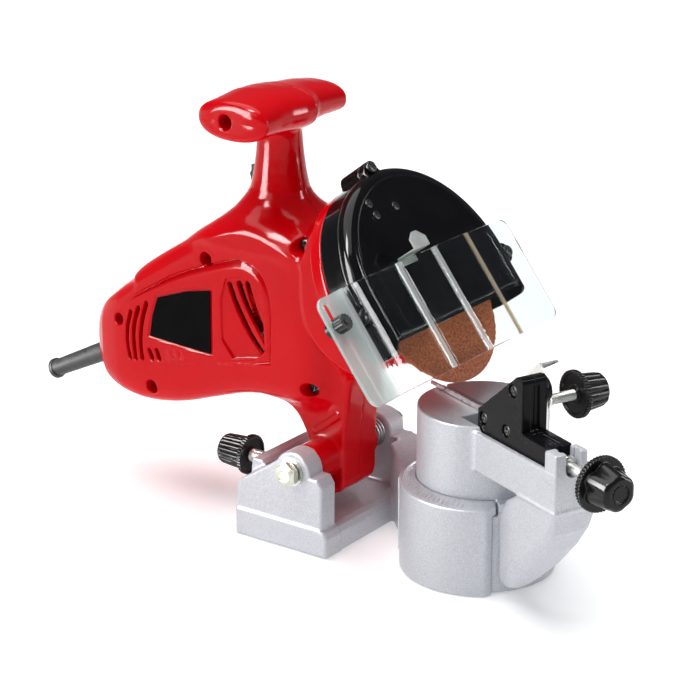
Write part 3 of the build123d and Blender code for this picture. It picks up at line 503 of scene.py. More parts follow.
def stage():
    sc = bpy.context.scene
    sc.view_settings.view_transform = "Standard"
    sc.view_settings.look = "None"
    az, el = radians(-54.15), radians(19.17)
    back = Vector((sin(az) * cos(el), -cos(az) * cos(el), sin(el)))
    right = Vector((cos(az), sin(az), 0))
    up = back.cross(right)
    cam = bpy.data.cameras.new("camera")
    cam.lens = 121.87
    cam.sensor_width = 36.0
    cam.clip_start, cam.clip_end = 0.05, 60
    co = bpy.data.objects.new("camera", cam)
    m = Matrix((right, up, back)).transposed().to_4x4()
    m.translation = Vector((-1.01876287, -0.75595645, 0.55110355))
    co.matrix_world = m
    sc.collection.objects.link(co)
    sc.camera = co

    fm = Mat("floor_pale", (0.93, 0.93, 0.93), 0.6, 0.0, Specular_IOR_Level=0.0)
    fm.vary(3, (0.925, 0.925, 0.925), (0.94, 0.94, 0.94)).rvary(8, 0.55, 0.65)
    fm.b.inputs["Emission Color"].default_value = (1, 1, 1, 1)
    fm.b.inputs["Emission Strength"].default_value = 0.3
    P = np.array([(-8, -8, 0), (8, -8, 0), (8, 8, 0), (-8, 8, 0)], float)
    me = bpy.data.meshes.new("floor")
    me.from_pydata([tuple(p) for p in P], [], [(0, 1, 2, 3)])
    me.materials.append(fm.m)
    fl = bpy.data.objects.new("floor", me)
    fl.location.z = -0.0006
    sc.collection.objects.link(fl)

    w = bpy.data.worlds.new("studio")
    sc.world = w
    w.use_nodes = True
    t = w.node_tree
    bg = t.nodes["Background"]
    tc = t.nodes.new("ShaderNodeTexCoord")
    sep = t.nodes.new("ShaderNodeSeparateXYZ")
    rp = t.nodes.new("ShaderNodeValToRGB")
    rp.color_ramp.elements[0].position = 0.52
    rp.color_ramp.elements[0].color = (0.9, 0.9, 0.92, 1)
    rp.color_ramp.elements[1].position = 0.64
    rp.color_ramp.elements[1].color = (0.20, 0.22, 0.27, 1)
    hi = rp.color_ramp.elements.new(0.86)
    hi.color = (0.5, 0.5, 0.53, 1)
    t.links.new(tc.outputs["Generated"], sep.inputs[0])
    mr = t.nodes.new("ShaderNodeMapRange")
    mr.inputs["From Min"].default_value = -1.0
    mr.inputs["From Max"].default_value = 1.0
    t.links.new(sep.outputs["Z"], mr.inputs["Value"])
    t.links.new(mr.outputs["Result"], rp.inputs["Fac"])
    t.links.new(rp.outputs["Color"], bg.inputs["Color"])
    bg.inputs["Strength"].default_value = 0.42

    def area(name, loc, target, sx, sy, power, color=(1, 1, 1), diffuse=False):
        l = bpy.data.lights.new(name, "AREA")
        l.shape = "RECTANGLE"
        l.size, l.size_y = sx, sy
        l.energy = power
        l.color = color
        o = bpy.data.objects.new(name, l)
        o.location = loc
        look_at(o, target)
        o.visible_diffuse = diffuse
        sc.collection.objects.link(o)
        return o

    c = (0.0, -0.03, 0.12)
    R, U, B = right, up, back

    def rel(r, u, b):
        v = R * r + U * u + B * b
        return (v.x + c[0], v.y + c[1], v.z + c[2])

    sun = bpy.data.lights.new("soft_sun", "SUN")
    sun.energy = 3.0
    sun.angle = radians(60)
    so = bpy.data.objects.new("soft_sun", sun)
    so.location = rel(-0.35, 1.6, 0.3)
    look_at(so, c)
    sc.collection.objects.link(so)
    area("box_back_left", (-0.98, 0.60, 0.47), (0, 0, 0.14), 0.55, 0.85, 65.0)
    area("key_front_left", rel(-0.6, 1.0, 0.7), c, 0.22, 0.5, 22.0)
    area("fill_front_left", rel(-0.75, 0.5, 0.9), c, 0.4, 0.4, 1.6, diffuse=True)
    area("strip_right", rel(1.05, 0.35, 0.15), c, 0.12, 0.8, 9.0)


stage()


# ------------------------------------------------------------------ motor housing, world frame
def head_vn(y, z):
    return 0.6 * (y + 81.2) + 0.8 * (z - 150.3), -0.8 * (y + 81.2) + 0.6 * (z - 150.3)


def ushape(x, v, r, drop, vc=10.0, rc=2.0):
    return rmax(hyp(x, np.maximum(v - vc, 0.0)) - r, -drop - v, rc)


OUTLINE = chaikin([(-27, 90), (-25, 150), (-24, 173), (-10, 181), (6, 183), (28, 182.5), (47, 179), (57.8, 174), (78, 162.2), (101.9, 147), (113.2, 138.2),
                   (114.2, 134.6), (128, 124), (140.6, 113.2), (148.5, 102.5), (151.0, 92), (149, 79), (141, 67.5), (128, 60.5), (112, 57.2),
                   (97, 57.6), (76.9, 61.5), (53.8, 69.8), (27.8, 78.6), (4, 80.4), (-14, 80)], 2)
ARCH_OUT = chaikin([(160, 92), (112, 123.4), (101.2, 131), (74.2, 146.7), (55.9, 153.9), (29, 163.6), (19.1, 161.6), (11.2, 156.6), (6.6, 146.8), (5.0, 135.8),
                    (4.6, 120), (5.2, 103.2), (7.4, 102.2), (41.7, 96.0), (68.6, 89.6), (96, 84.3), (160, 72)], 1)
ARCH_IN = chaikin([(150, 96), (111, 119.8), (87.8, 132.6), (48.3, 148.6), (26.7, 154.4), (17.6, 151.0), (11.2, 143.6), (9.2, 124.6), (8.2, 104.4),
                   (41.7, 97.6), (68.6, 91.2), (96, 86.0), (150, 74)], 1)
WINDOW = chaikin([(42.2, 147.6), (26.9, 152.4), (18.4, 149.2), (12.6, 142.4), (10.6, 124.6), (9.6, 105.4), (41.3, 99.0)], 1)
LABEL = [(90.3, 128.6), (67.2, 137.0), (48.7, 140.8), (48.9, 99.6), (73.0, 100.6), (97.4, 101.8), (94.6, 116.0)]
LABEL_IN = [(89.4, 127.6), (67.0, 135.6), (49.6, 139.2), (49.8, 100.7), (73.0, 101.6), (96.0, 102.8), (93.6, 115.8)]
VENTS = [[(36.4, 145.2), (32.8, 135.1), (27.4, 125.0), (20.8, 115.1), (13.1, 107.4)],
         [(30.0, 146.8), (26.0, 136.4), (21.1, 128.1), (15.1, 120.0), (10.6, 113.4)],
         [(24.2, 147.6), (21.0, 137.4), (16.9, 129.0), (13.2, 123.0)]]
REAR = [[(98.6, 122.4), (102.2, 112.0), (104.2, 98.0), (103.0, 87.0)],
        [(105.0, 118.6), (108.2, 110.0), (109.8, 99.4), (108.2, 85.8)],
        [(111.2, 114.6), (114.2, 105.3), (114.8, 95.0), (112.6, 85.4)]]
NOTCH = [[(97.2, 92.8), (95.0, 88.4)], [(91.6, 94.0), (89.6, 89.4)]]
FAINT = [[(84.6, 95.2), (83.0, 91.4)], [(79.0, 96.0), (77.6, 92.4)], [(73.4, 96.8), (72.2, 93.6)]]
SCREWS_YZ = [(52.5, 158.0), (-13.0, 176.0), (-18.9, 92.0), (96.5, 70.0), (121.2, 108.0)]
MX = 26.0
PLAN = [(-34.5, -80), (-34.5, 112), (-33.0, 124), (-28.6, 138), (-19, 151.5), (19, 151.5), (28.6, 138), (33.0, 124), (34.5, 112), (34.5, -80)]
NOSE_N = np.array([-70, -62, -50, -40, -30, -24, -17, 0.0])
NOSE_R = np.array([24, 32, 42.5, 51, 57.5, 60.0, 61.0, 61.5])
NECK_Z = np.array([150, 166, 172, 176, 180, 183.5, 187, 190, 193, 196, 200, 205, 210, 219, 228, 240, 262.0])
NECK_R = np.array([60, 46, 40.5, 36, 32, 29.2, 26.2, 24, 21.6, 19.4, 17.3, 16.1, 15.2, 14.0, 13.2, 12.6, 12.0])


def shell_simple(x, y, z, grow=0.0):
    """body, nose and neck without their details; grow < 0 is the inside"""
    v, n = head_vn(y, z)
    ax = np.abs(x)
    side = poly2(y, z, OUTLINE)
    plan = poly2(x + 0 * y, y + 0 * x, PLAN)
    b = rmax(side - grow, ax - 34.5 - grow, 15.0)
    b = rmax(b, plan - grow, 5.0)
    nose = (hyp(x, v - 14.0) - np.interp(n, NOSE_N, NOSE_R) - grow) * 0.75
    nose = smax(nose, np.abs(n + 38.5) - 22.5 - grow, 2.0)
    nose = smax(nose, -18.0 - v - grow, 5.0)
    if grow == 0.0:
        bulge = rmax(hyp(x, v) - 24.2, np.abs(n + 26.3) - 10.3, 2.0)
        nose = smin(nose, np.minimum(bulge, rmax(hyp(x, v) - 20.2, np.abs(n + 43.4) - 7.0, 2.0)), 3.0)
    d = smin(b, nose, 3.0)
    nk = (hyp(x, y - 22.5) - np.interp(z, NECK_Z, NECK_R) - grow) * np.interp(z, [150, 176, 186, 200, 262], [0.6, 0.62, 0.66, 0.92, 0.98])
    nk = smax(nk, 172.0 - z, 4.0)
    nk = smax(nk, z - 236.0, 2.0)
    return smin(d, nk, 12.0), side, v, n, ax


def handle_d(x, y, z):
    t = [-52, -47.5, -30, -20, -8, 0, 10, 22, 33, 44, 50]
    top = np.interp(x, t, [257.4, 257.6, 259.4, 260.4, 260.4, 259.9, 259.1, 258.2, 256.8, 254.2, 253.6])
    bot = np.interp(x, t, [234.8, 234.8, 234.4, 234.2, 234.1, 234.2, 235.4, 236.2, 236.6, 236.8, 236.8])
    fr = np.interp(x, t, [-2.6, -2.4, -2.0, -2.6, -4.2, -4.4, 1.2, 1.8, 2.0, 2.4, 2.8])
    bk = np.interp(x, t, [46.0, 46.4, 47.4, 48.4, 49.4, 49.6, 44.4, 43.6, 43.0, 42.4, 42.0])
    yc, zc, a, b = (fr + bk) / 2, (top + bot) / 2, (bk - fr) / 2, (top - bot) / 2
    u, w = np.abs(y - yc) / a, np.abs(z - zc) / b
    k = 2.25
    rho = (u ** k + w ** k + 1e-9) ** (1 / k)
    d = (rho - 1.0) * b * (0.55 + 0.45 * np.clip(w / (rho + 1e-6), 0, 1))
    near = rmax(d, -47.4 - x, 4.5)
    return rmax(near, x - 44.0, 8.0)


def housing(x, y, z):
    d0, side, v, n, ax = shell_simple(x, y, z)
    yz = 0 * x
    # inner motor cover under the arch: the side wall steps in, then rolls out to the rim
    do = -poly2(y, z, ARCH_OUT)
    di = np.maximum(poly2(y, z, ARCH_IN), 0.0)
    t = np.clip(do / (np.maximum(do, 0) + di + 1e-3), 0.0, 1.0)
    inw = 33.6 - 3.9 * (1 - t) ** 2
    step = np.clip(do / 0.9, 0.0, 1.0)
    rear = np.clip((y - 104.0) / 14.0, 0.0, 1.0)
    w = 34.6 - step * (34.6 - inw) * (1 - 0.55 * rear)
    d = smax(d0, (ax - w) * 0.72, 0.8)
    # flange behind the guard
    fl = rmax(ushape(x, v, 67.0, 18.0, rc=4.0), np.abs(n + 12.2) - 4.8, 2.0)
    d = smin(d, fl, 3.0)
    # leg and hinge barrel
    leg = poly2(y, z, chaikin([(-34.5, 24.7), (-10.5, 24.7), (-10.5, 48.0), (-9.4, 55.0), (0.4, 72.0), (11.0, 84.0), (26.0, 104.0), (10.0, 120.0), (-30.0, 118.0),
                               (-38.5, 96.0), (-37.4, 84.0), (-35.4, 70.0), (-34.6, 50.0)], 2))
    leg = rmax(leg, ax - 16.7, 2.6)
    mid = -5.55
    bar = rmax(hyp(y + 20.7, z - 48.0) - 11.5, np.abs(x - mid) - 28.15, 1.6)
    d = smin(d, leg, 14.0)
    d = smin(d, bar, 2.2)
    # neck collar and handle
    d = smin(d, handle_d(x, y, z), 4.0)
    # hollow inside
    ins = shell_simple(x, y, z, -2.8)[0]
    ins = smax(ins, z - 234.0, 1.0)
    ins = smax(ins, ax - np.where(z < 158.0, 27.2, 31.7), 1.0)
    lh = rmax(poly2(y, z, [(-32.0, 60.0), (-12.0, 60.0), (4.0, 88.0), (-10.0, 120.0), (-32.0, 120.0)]), ax - 13.9, 1.0)
    hol = np.minimum(ins, lh)
    # screw bosses, handle boss, webs
    boss = None
    for sy, sz in SCREWS_YZ:
        b = hyp(y - sy, z - sz) - 7.0
        boss = b if boss is None else np.minimum(boss, b)
    boss = np.maximum(boss, ax - 32.6)
    for na, nb, r, vc in ((-24.0, -19.9, 70.0, 10.0), (-45.5, -40.5, 60.0, MX), (-74.0, -70.5, 40.0, MX), (-95.5, -92.0, 40.0, MX), (-126.8, -121.0, 34.0, MX)):
        boss = np.minimum(boss, np.maximum(np.abs(n - (na + nb) / 2) - (nb - na) / 2, hyp(x, v - vc) - r))
    sv = (y - 139.6) * -0.4410 + (z - 81.3) * -0.8975
    sw = (y - 139.6) * 0.8975 + (z - 81.3) * -0.4410
    boss = np.minimum(boss, np.maximum(hyp(x, sv) - 10.5, np.abs(sw - 3.5) - 3.5))
    boss = np.minimum(boss, bx(x, sv, sw, -12.5, 12.5, 4.45, 16.0, -13.5, -5.5, 0.3))
    d = smax(d, -np.maximum(hol, -boss), 0.3)
    # cuts
    rM = hyp(x, v - MX)
    r0 = hyp(x, v)
    case = np.minimum(np.minimum(rM - 20.6, r0 - 17.1), np.maximum(ax - 16.1, np.abs(v - MX / 2) - MX / 2))
    cut = np.maximum(case, np.abs(n + 42.3) - 5.3)
    for r, rr, na, nb in ((r0, 21.4, -37.1, -23.6), (r0, 22.02, -23.7, -19.0), (r0, 18.0, -20.0, -5.0), (rM, 12.0, -37.1, -23.6),
                          (rM, 24.02, -103.0, -47.5), (rM, 11.01, -128.5, -119.0)):
        cut = np.minimum(cut, np.maximum(r - rr, np.abs(n - (na + nb) / 2) - (nb - na) / 2))
    cut = np.minimum(cut, rmax(ushape(x, v, 64.2, 15.2, rc=2.0), np.abs(n + 4.4) - 10.0, 0.4))
    cut = np.minimum(cut, np.maximum(hyp(x, sv) - 6.75, -2.0 - sw))
    cut = np.minimum(cut, np.maximum(hyp(x, sv) - 9.0, np.abs(sw + 1.6) - 1.6))
    cut = np.minimum(cut, bx(x, sv, sw, -12.6, 12.6, -8, 4.45, -14.0, -5.0, 0.1))
    for sx in (-8.0, 8.0):
        cut = np.minimum(cut, np.maximum(hyp(x - sx, sw + 9.5) - 1.4, np.abs(sv - 6.5) - 2.5))
    cut = np.minimum(cut, hyp(y + 20.7, z - 48.0) - 4.06 + yz)
    # vent window, slots, label recess
    win = poly2(y, z, WINDOW)
    cut = np.minimum(cut, rmax(win, 31.5 - 1.5 * np.clip((41.0 - y) / 16.0, 0.0, 1.0) - ax, 0.5))
    sl = None
    for p in VENTS:
        q = line2(y, z, chaikin(p, 2, closed=False)) - 1.75
        sl = q if sl is None else np.minimum(sl, q)
    sl = np.maximum(sl, win + 0.8)
    for p in REAR:
        sl = np.minimum(sl, line2(y, z, chaikin(p, 2, closed=False)) - 1.4)
    for p in NOTCH:
        sl = np.minimum(sl, line2(y, z, p) - 1.6)
    cut = np.minimum(cut, np.maximum(sl, 24.5 - ax))
    fa = None
    for p in FAINT:
        q = line2(y, z, p) - 1.2
        fa = q if fa is None else np.minimum(fa, q)
    cut = np.minimum(cut, np.maximum(fa, 32.6 - ax))
    cut = np.minimum(cut, rmax(poly2(y, z, LABEL) - 0.4, 32.4 + x, 0.2))
    cut = np.minimum(cut, bx(x, y, z, -6.2, 6.2, 23.2, 60.0, 192.6, 211.4, 0.6))
    for sy, sz in SCREWS_YZ:
        r = hyp(y - sy, z - sz)
        cut = np.minimum(cut, np.maximum(r - (4.3 if sy < 110.0 else 3.7), x + 22.0))
        cut = np.minimum(cut, np.maximum(r - 1.8, np.abs(x + 4.5) - 18.5))
    r = hyp(y - 25.0, z - 246.0)
    cut = np.minimum(cut, np.maximum(r - 4.4, x + 30.0))
    cut = np.minimum(cut, np.maximum(r - 1.8, np.abs(x + 8.5) - 22.5))
    d = smax(d, -cut, 0.7)
    # plain raised oblong on the leg
    em = line2(y, z, [(-14.6, 62.4), (-30.4, 74.6)]) - 2.4
    return d - 0.7 * np.clip(-em / 0.7, 0.0, 1.0) * (x < -10.0)


def housing_half(sign):
    def f(x, y, z):
        return rmax(housing(x, y, z), 0.03 - sign * x, 0.55)
    return f


def make_housing():
    h = 1.0
    solid("housing_left_half", housing_half(-1), (-68, -97, 24), (0.5, 153, 264), h, "head", MATS["red"], ("housing_left",), slot="red_housing")
    solid("label_panel_insert", lambda x, y, z: rmax(poly2(y, z, LABEL_IN) - 0.2, np.abs(x + 32.85) - 0.4, 0.2), (-33.3, 47, 98.5), (-32.4, 98, 141), 0.45,
          "head", MATS["label"], ("label_panel",), slot="black_satin")
    solid("housing_right_half", housing_half(1), (-0.5, -97, 24), (68, 153, 264), h, "head", MATS["red"], ("housing_right",), slot="red_housing")


import time
T0 = time.time()


def lap(what):
    print("made %-24s %.1f s" % (what, time.time() - T0))


make_housing()
lap("housing")


# ------------------------------------------------------------------ turned parts
def turned(name, prof, body, mat, repl=(), M=WORLD, seg=48, thread=None, raw=False):
    """closed solid of revolution about local Z. prof is (w, r) from one end to the other; thread = (w0, w1, pitch, depth)"""
    ws, rs = [], []
    for (w0, r0), (w1, r1) in zip(prof[:-1], prof[1:]):
        n = 1
        if thread and w1 - w0 > thread[2] and w0 >= thread[0] - 1e-6 and w1 <= thread[1] + 1e-6:
            n = int((w1 - w0) / thread[2] * 8)
        for i in range(n):
            ws.append(w0 + (w1 - w0) * i / n)
            rs.append(r0 + (r1 - r0) * i / n)
    ws.append(prof[-1][0])
    rs.append(prof[-1][1])
    W, R = np.array(ws), np.array(rs)
    th = np.linspace(0, 2 * pi, seg, endpoint=False)
    T, WW = np.meshgrid(th, W, indexing="xy")
    RR = np.repeat(R[:, None], seg, 1)
    if thread:
        t0, t1, pitch, depth = thread
        ph = (WW / pitch - T / (2 * pi)) % 1.0
        tri = np.abs(ph * 2 - 1)
        cut = depth * np.clip(tri * 1.5 - 0.25, 0, 1)
        inside = np.clip((WW - t0) / pitch, 0, 1) * np.clip((t1 - WW) / pitch, 0, 1)
        ok = (WW > t0) & (WW < t1)
        RR = RR - np.where(ok, cut * inside, 0)
    P = np.stack([RR * np.cos(T), RR * np.sin(T), WW], -1).reshape(-1, 3)
    n, m = len(W), seg
    base = np.arange(n - 1)[:, None] * m + np.arange(m)[None, :]
    nxt = np.arange(n - 1)[:, None] * m + (np.arange(m)[None, :] + 1) % m
    Q = np.stack([base, nxt, nxt + m, base + m], -1).reshape(-1, 4)
    P = np.vstack([P, [[0, 0, W[0]], [0, 0, W[-1]]]])
    a = np.arange(m)
    lowc, topc = n * m, n * m + 1
    me_tris = [(int((i + 1) % m), int(i), lowc) for i in a] + [((n - 1) * m + int(i), (n - 1) * m + int((i + 1) % m), topc) for i in a]
    P = P @ M[:3, :3].T + M[:3, 3]
    me = bpy.data.meshes.new(name)
    me.from_pydata((P * MM).tolist(), [], Q.tolist() + me_tris)
    me.update()
    me.polygons.foreach_set("use_smooth", np.ones(len(me.polygons), bool))
    me.set_sharp_from_angle(angle=radians(32 if not thread else 50))
    me.materials.append(mat)
    ob = bpy.data.objects.new(name, me)
    bpy.context.scene.collection.objects.link(ob)
    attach(ob, body)
    if repl:
        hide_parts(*repl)
    return ob


def sector2(x, y, half_deg, sign=-1):
    """negative inside the wedge of half_deg either side of sign*Y"""
    a = radians(half_deg)
    return np.abs(x) * cos(a) - sign * y * sin(a)


# ------------------------------------------------------------------ base casting
EAR = [(20.5, 0), (19.8, 30.7), (16.7, 35.2), (-1.9, 47.4), (-9.8, 53.0), (-20.7, 56.0), (-31.4, 46.9), (-38.0, 46.8), (-41.3, 41.9), (-41.2, 16.3), (-44.5, 11.5), (-44.5, 0)]
TY = -118.5


def base_f(x, y, z):
    ax = np.abs(x)
    plate = rmax(poly2(y, z, [(-44.5, 0), (-44.5, 11.5), (-42.9, 14.8), (-39.5, 16), (20.5, 16), (20.5, 0)]), ax - 48.0, 1.1)
    plate = np.maximum(plate, -z)
    e2 = np.minimum(poly2(y, z, EAR), hyp(y + 20.7, z - 48.0) - 12.0)
    ears = rmax(e2, np.abs(ax - 41.0) - 7.0, 1.3)
    d = smin(plate, ears, 2.4)
    cross = rmax(poly2(y, z, [(9, 14), (9, 41), (11.5, 43.5), (18, 43.5), (19, 38), (20, 14)]), ax - 35.0, 1.0)
    d = smin(d, cross, 2.4)
    web = rmax(poly2(x + 0 * y, y + 0 * x, [(26, -38), (48, -38), (48, TY), (20, TY), (-14, -71), (-1, -65.2)]), np.abs(z - 23.0) - 23.0, 1.2)
    d = smin(d, web, 3.0)
    yy = y - TY
    R = hyp(x, yy)
    slope = (z - 51.0) * 0.918 - (46.3 - R) * 0.396
    ring = rmax(rmax(R - 46.3, slope, 0.7), np.abs(z - 27.25) - 27.25, 0.5)
    d = smin(d, ring, 2.5)
    bore = np.minimum(np.maximum(R - 43.0, z - 47.5), np.maximum(R - 37.4, 46.5 - z))
    d = smax(d, -bore, 0.5)
    gone = np.minimum(sector2(x, yy, 47.0), np.maximum((np.abs(x) - 34.5) * -0.3007 + (yy + 28.05) * 0.9537, ax - 60.0))
    d = smax(d, -gone, 0.9)
    lug = np.maximum(np.maximum(np.abs(R - 40.8) - 3.2, np.abs(z - 29.5) - 8.5), sector2(x, yy, 46, 1))
    d = np.minimum(d, lug)
    cut = hyp(y + 20.7, z - 48.0) - 4.05 + 0 * x
    cut = np.minimum(cut, np.maximum(hyp(x + 5.5, z - 30.0) - 4.05, -y))
    for s in (-1, 1):
        cut = np.minimum(cut, np.maximum(hyp(x - s * 25.5, y) - 3.3, z - 18))
        a = radians(90 + s * 32)
        cut = np.minimum(cut, np.maximum(hyp(x - 40.2 * cos(a), yy - 40.2 * sin(a)) - 1.75, np.abs(z - 24.5) - 9.5))
    return np.maximum(smax(d, -cut, 0.5), -z)


def make_base():
    solid("base_casting_body", base_f, (-49, -169, 0), (51, 22, 61), 0.9, "base", MATS["cast"], ("base_casting",), slot="cast_aluminium")


# ------------------------------------------------------------------ vise casting, VISE frame
GUSSET = [(36.0, 3.0), (44.3, 3.0), (53.0, 8.0), (65.3, 17.6), (80.7, 31.9), (92.1, 46.7), (98.6, 58.7), (100.4, 66.3), (102.0, 72.8), (70.0, 72.8), (52.0, 62.0), (36.0, 47.0)]


def vise_f(x, y, z):
    R = hyp(x, y)
    drum = rmax(R - 37.0, np.abs(z - 60.1) - 36.9, 1.0)
    skirt = rmax(rmax(np.abs(R - 40.3) - 2.3, np.abs(z - 23.8) - 23.0, 0.6), sector2(x, y, 88), 1.1)
    c, s = cos(radians(5.65)), sin(radians(5.65))
    wall = rmax(rmax(R - 42.6, np.abs(z - 48.0) - 6.2, 0.8), sector2(x * c - y * s, x * s + y * c, 16.65), 0.5)
    wall = np.maximum(wall, 35.5 - R)
    link = np.maximum(np.maximum(np.abs(R - 37.0) - 1.5, np.abs(z - 35.0) - 11.8), sector2(x, y, 87))
    q = np.minimum(hyp(x - 29.3, np.maximum(y + 70.0, 0.0)) - 54.3, 71.8 - z)
    side = smax(np.abs(x + 11.1) - 13.9, q, 1.0)
    g = rmax(poly2(-y, z, GUSSET), side, np.interp(z, [30.0, 73.0], [12.0, 1.0]))
    g = np.maximum(g, -np.maximum(R - 38.5, z - 48.0))
    arm = bx(x, y, z, -25.0, 2.8, -102.0, 0.0, 71.8, 94.5, 1.0)
    posts = np.minimum(bx(x, y, z, -25.0, -18.1, -102.0, -91.7, 88.0, 105.4, 0.9), bx(x, y, z, -8.9, -4.5, -102.0, -91.7, 88.0, 105.4, 0.9))
    arm = smin(arm, posts, 0.8)
    d = smin(drum, arm, 2.2)
    d = smin(d, g, 2.0)
    hollow = np.maximum(np.maximum(R - 32.5, z - 76.0), 11.0 - R)
    d = smax(d, -hollow, 1.0)
    d = np.minimum(d, np.maximum(np.maximum(R - 11.0, np.abs(z - 50.0) - 26.8), -100.0))
    d = np.minimum(d, np.minimum(link, 50.0))
    d = smin(smin(d, skirt, 0.8), wall, 1.0)
    cut = bx(x, y, z, -22.1, -5.2, -91.7, -10.2, 81.0, 130.0, 0.6)
    rf = hyp(x + 13.5, z - 96.0)
    s1 = np.minimum(rf - 4.6, np.maximum(np.abs(x + 13.5) - 4.6, 96.0 - z))
    cut = np.minimum(cut, np.maximum(s1, np.abs(y + 98.0) - 7.0))
    s2 = np.minimum(rf - 6.0, np.maximum(np.abs(x + 13.5) - 6.0, 96.0 - z))
    cut = np.minimum(cut, np.maximum(s2, np.abs(y + 96.5) - 1.7))
    cut = np.minimum(cut, bx(x, y, z, -2.0, -0.4, -110.0, 45.0, 86.5, 130.0, 0.1))
    cut = np.minimum(cut, np.maximum(R - 4.05, z - 55.0))
    return smax(d, -cut, 0.4)


def make_vise():
    solid("vise_casting_body", vise_f, (-44, -103, 0.5), (44, 38.5, 106), 0.8, "vise", MATS["cast"], ("vise_body",), M=VISE, slot="cast_aluminium")


def make_scale():
    """raised degree marks on the ring's top edge"""
    P, Q = [], []
    for k in range(-27, 28):
        deg = 90 + k * 4.0
        if abs(k) * 4.0 > 126:
            continue
        r0 = 39.6 if k % 5 == 0 else 41.4
        r1 = 44.6
        hw = 0.42
        a = radians(deg)
        ca, sa = cos(a), sin(a)
        n = len(P)
        for zz, e in ((-0.3, 0.0), (0.5, 0.14)):
            for rr, ss in ((r0 + e, -hw + e), (r1 - e, -hw + e), (r1 - e, hw - e), (r0 + e, hw - e)):
                P.append((rr * ca - ss * sa, TY + rr * sa + ss * ca, 51.0 + (46.3 - rr) * 0.4321 + zz))
        Q += [(n + 3, n + 2, n + 1, n), (n + 4, n + 5, n + 6, n + 7)] + [(n + i, n + (i + 1) % 4, n + 4 + (i + 1) % 4, n + 4 + i) for i in range(4)]
    me = bpy.data.meshes.new("angle_scale_marks")
    me.from_pydata((np.array(P) * MM).tolist(), [], Q)
    me.materials.append(MATS["cast"])
    ob = bpy.data.objects.new("angle_scale_marks", me)
    bpy.context.scene.collection.objects.link(ob)
    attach(ob, "base")


# ------------------------------------------------------------------ carriage, VISE frame
SIDE = [(25.9, 82.0), (25.9, 106.9), (57.2, 132.6), (60.2, 135.2), (63.6, 135.7), (66.2, 134.8), (66.9, 132.6), (66.9, 105.2), (89.3, 104.8), (89.3, 82.0)]
CSCREW = [(57.5, 126.6), (31.0, 102.6), (52.3, 102.2)]


def carriage(right):
    def f(x, y, z):
        b = -y
        a0, a1 = (-13.5, -5.6) if right else (-21.8, -13.5)
        p = poly2(b, z, SIDE)
        d = rmax(p, np.abs(x - (a0 + a1) / 2) - (a1 - a0) / 2, 0.55)
        # the shelf's cap strip and the upright grooves down the front face
        g = rmax(np.maximum(np.abs(x + 13.5) - 2.6, 66.9 - 1.3 - b), 106.2 - z, 0.2)
        g = np.maximum(g, z - 131.0)
        d = smax(d, -g, 0.4)
        g2 = np.maximum(np.maximum(np.abs(x + 13.5) - 3.4, 69.5 - b), 103.9 - z)
        d = smax(d, -np.maximum(g2, b - 86.0), 0.3)
        if right:
            d = smin(d, rmax(hyp(b - 59.6, z - 125.4) - 8.0, np.abs(x + 4.8) - 2.2, 0.9), 0.6)
        cut = np.maximum(hyp(x + 13.5, z - 96.0) - 3.05, 39.0 - b)
        for sb, sz in CSCREW:
            r = hyp(b - sb, z - sz)
            if right:
                cut = np.minimum(cut, np.maximum(r - 1.95, x + (9.7 if sb < 40 else 7.5)))
            else:
                cut = np.minimum(cut, np.maximum(r - 3.6, x + 19.4))
                cut = np.minimum(cut, r - 2.0)
        if right:
            cut = np.minimum(cut, bx(x, y, z, -9.2, -7.4, -41.5, -20, 95.0, 127.0, 0.1))
            cut = np.minimum(cut, np.maximum(hyp(b - 35.5, z - 100.4) - 1.55, -12.5 - x))
            cut = np.minimum(cut, np.maximum(hyp(b - 52.8, z - 114.8) - 3.05, -13.3 - x))
        return smax(d, -cut, 0.35)
    return f


def pan_head(r, h, cross=2.3):
    """domed head with a cross recess, its seat at local z 0"""
    def f(x, y, z):
        R = hyp(x, y)
        d = rmax(R - r, z - h * (1.0 - 0.25 * (R / r) ** 2), h * 0.4)
        d = np.maximum(d, -z)
        slot = np.minimum(np.maximum(np.abs(x) - 0.55, np.abs(y) - cross), np.maximum(np.abs(y) - 0.55, np.abs(x) - cross))
        slot = np.maximum(slot, h - 1.1 - z + 0.35 * R)
        return smax(d, -slot, 0.15)
    return f


def screws(name, places, r, h, shank_r, body, mat, repl, cross=2.3, slot=None, step=0.3):
    """places: list of (frame matrix, shank length)"""
    out = []
    for M, L in places:
        hd = pan_head(r, h, cross)

        def g(x, y, z, L=L, hd=hd):
            s = rmax(hyp(x, y) - shank_r, np.abs(z + L / 2 - 0.2) - L / 2 - 0.2, 0.3)
            return np.minimum(hd(x, y, z), s)
        out.append(moved(nets(g, (-r, -r, -L), (r, r, h), step, 2), M))
    P, Q, N = merge(out)
    return build(name, P, Q, N, WORLD, body, mat, repl, slot)


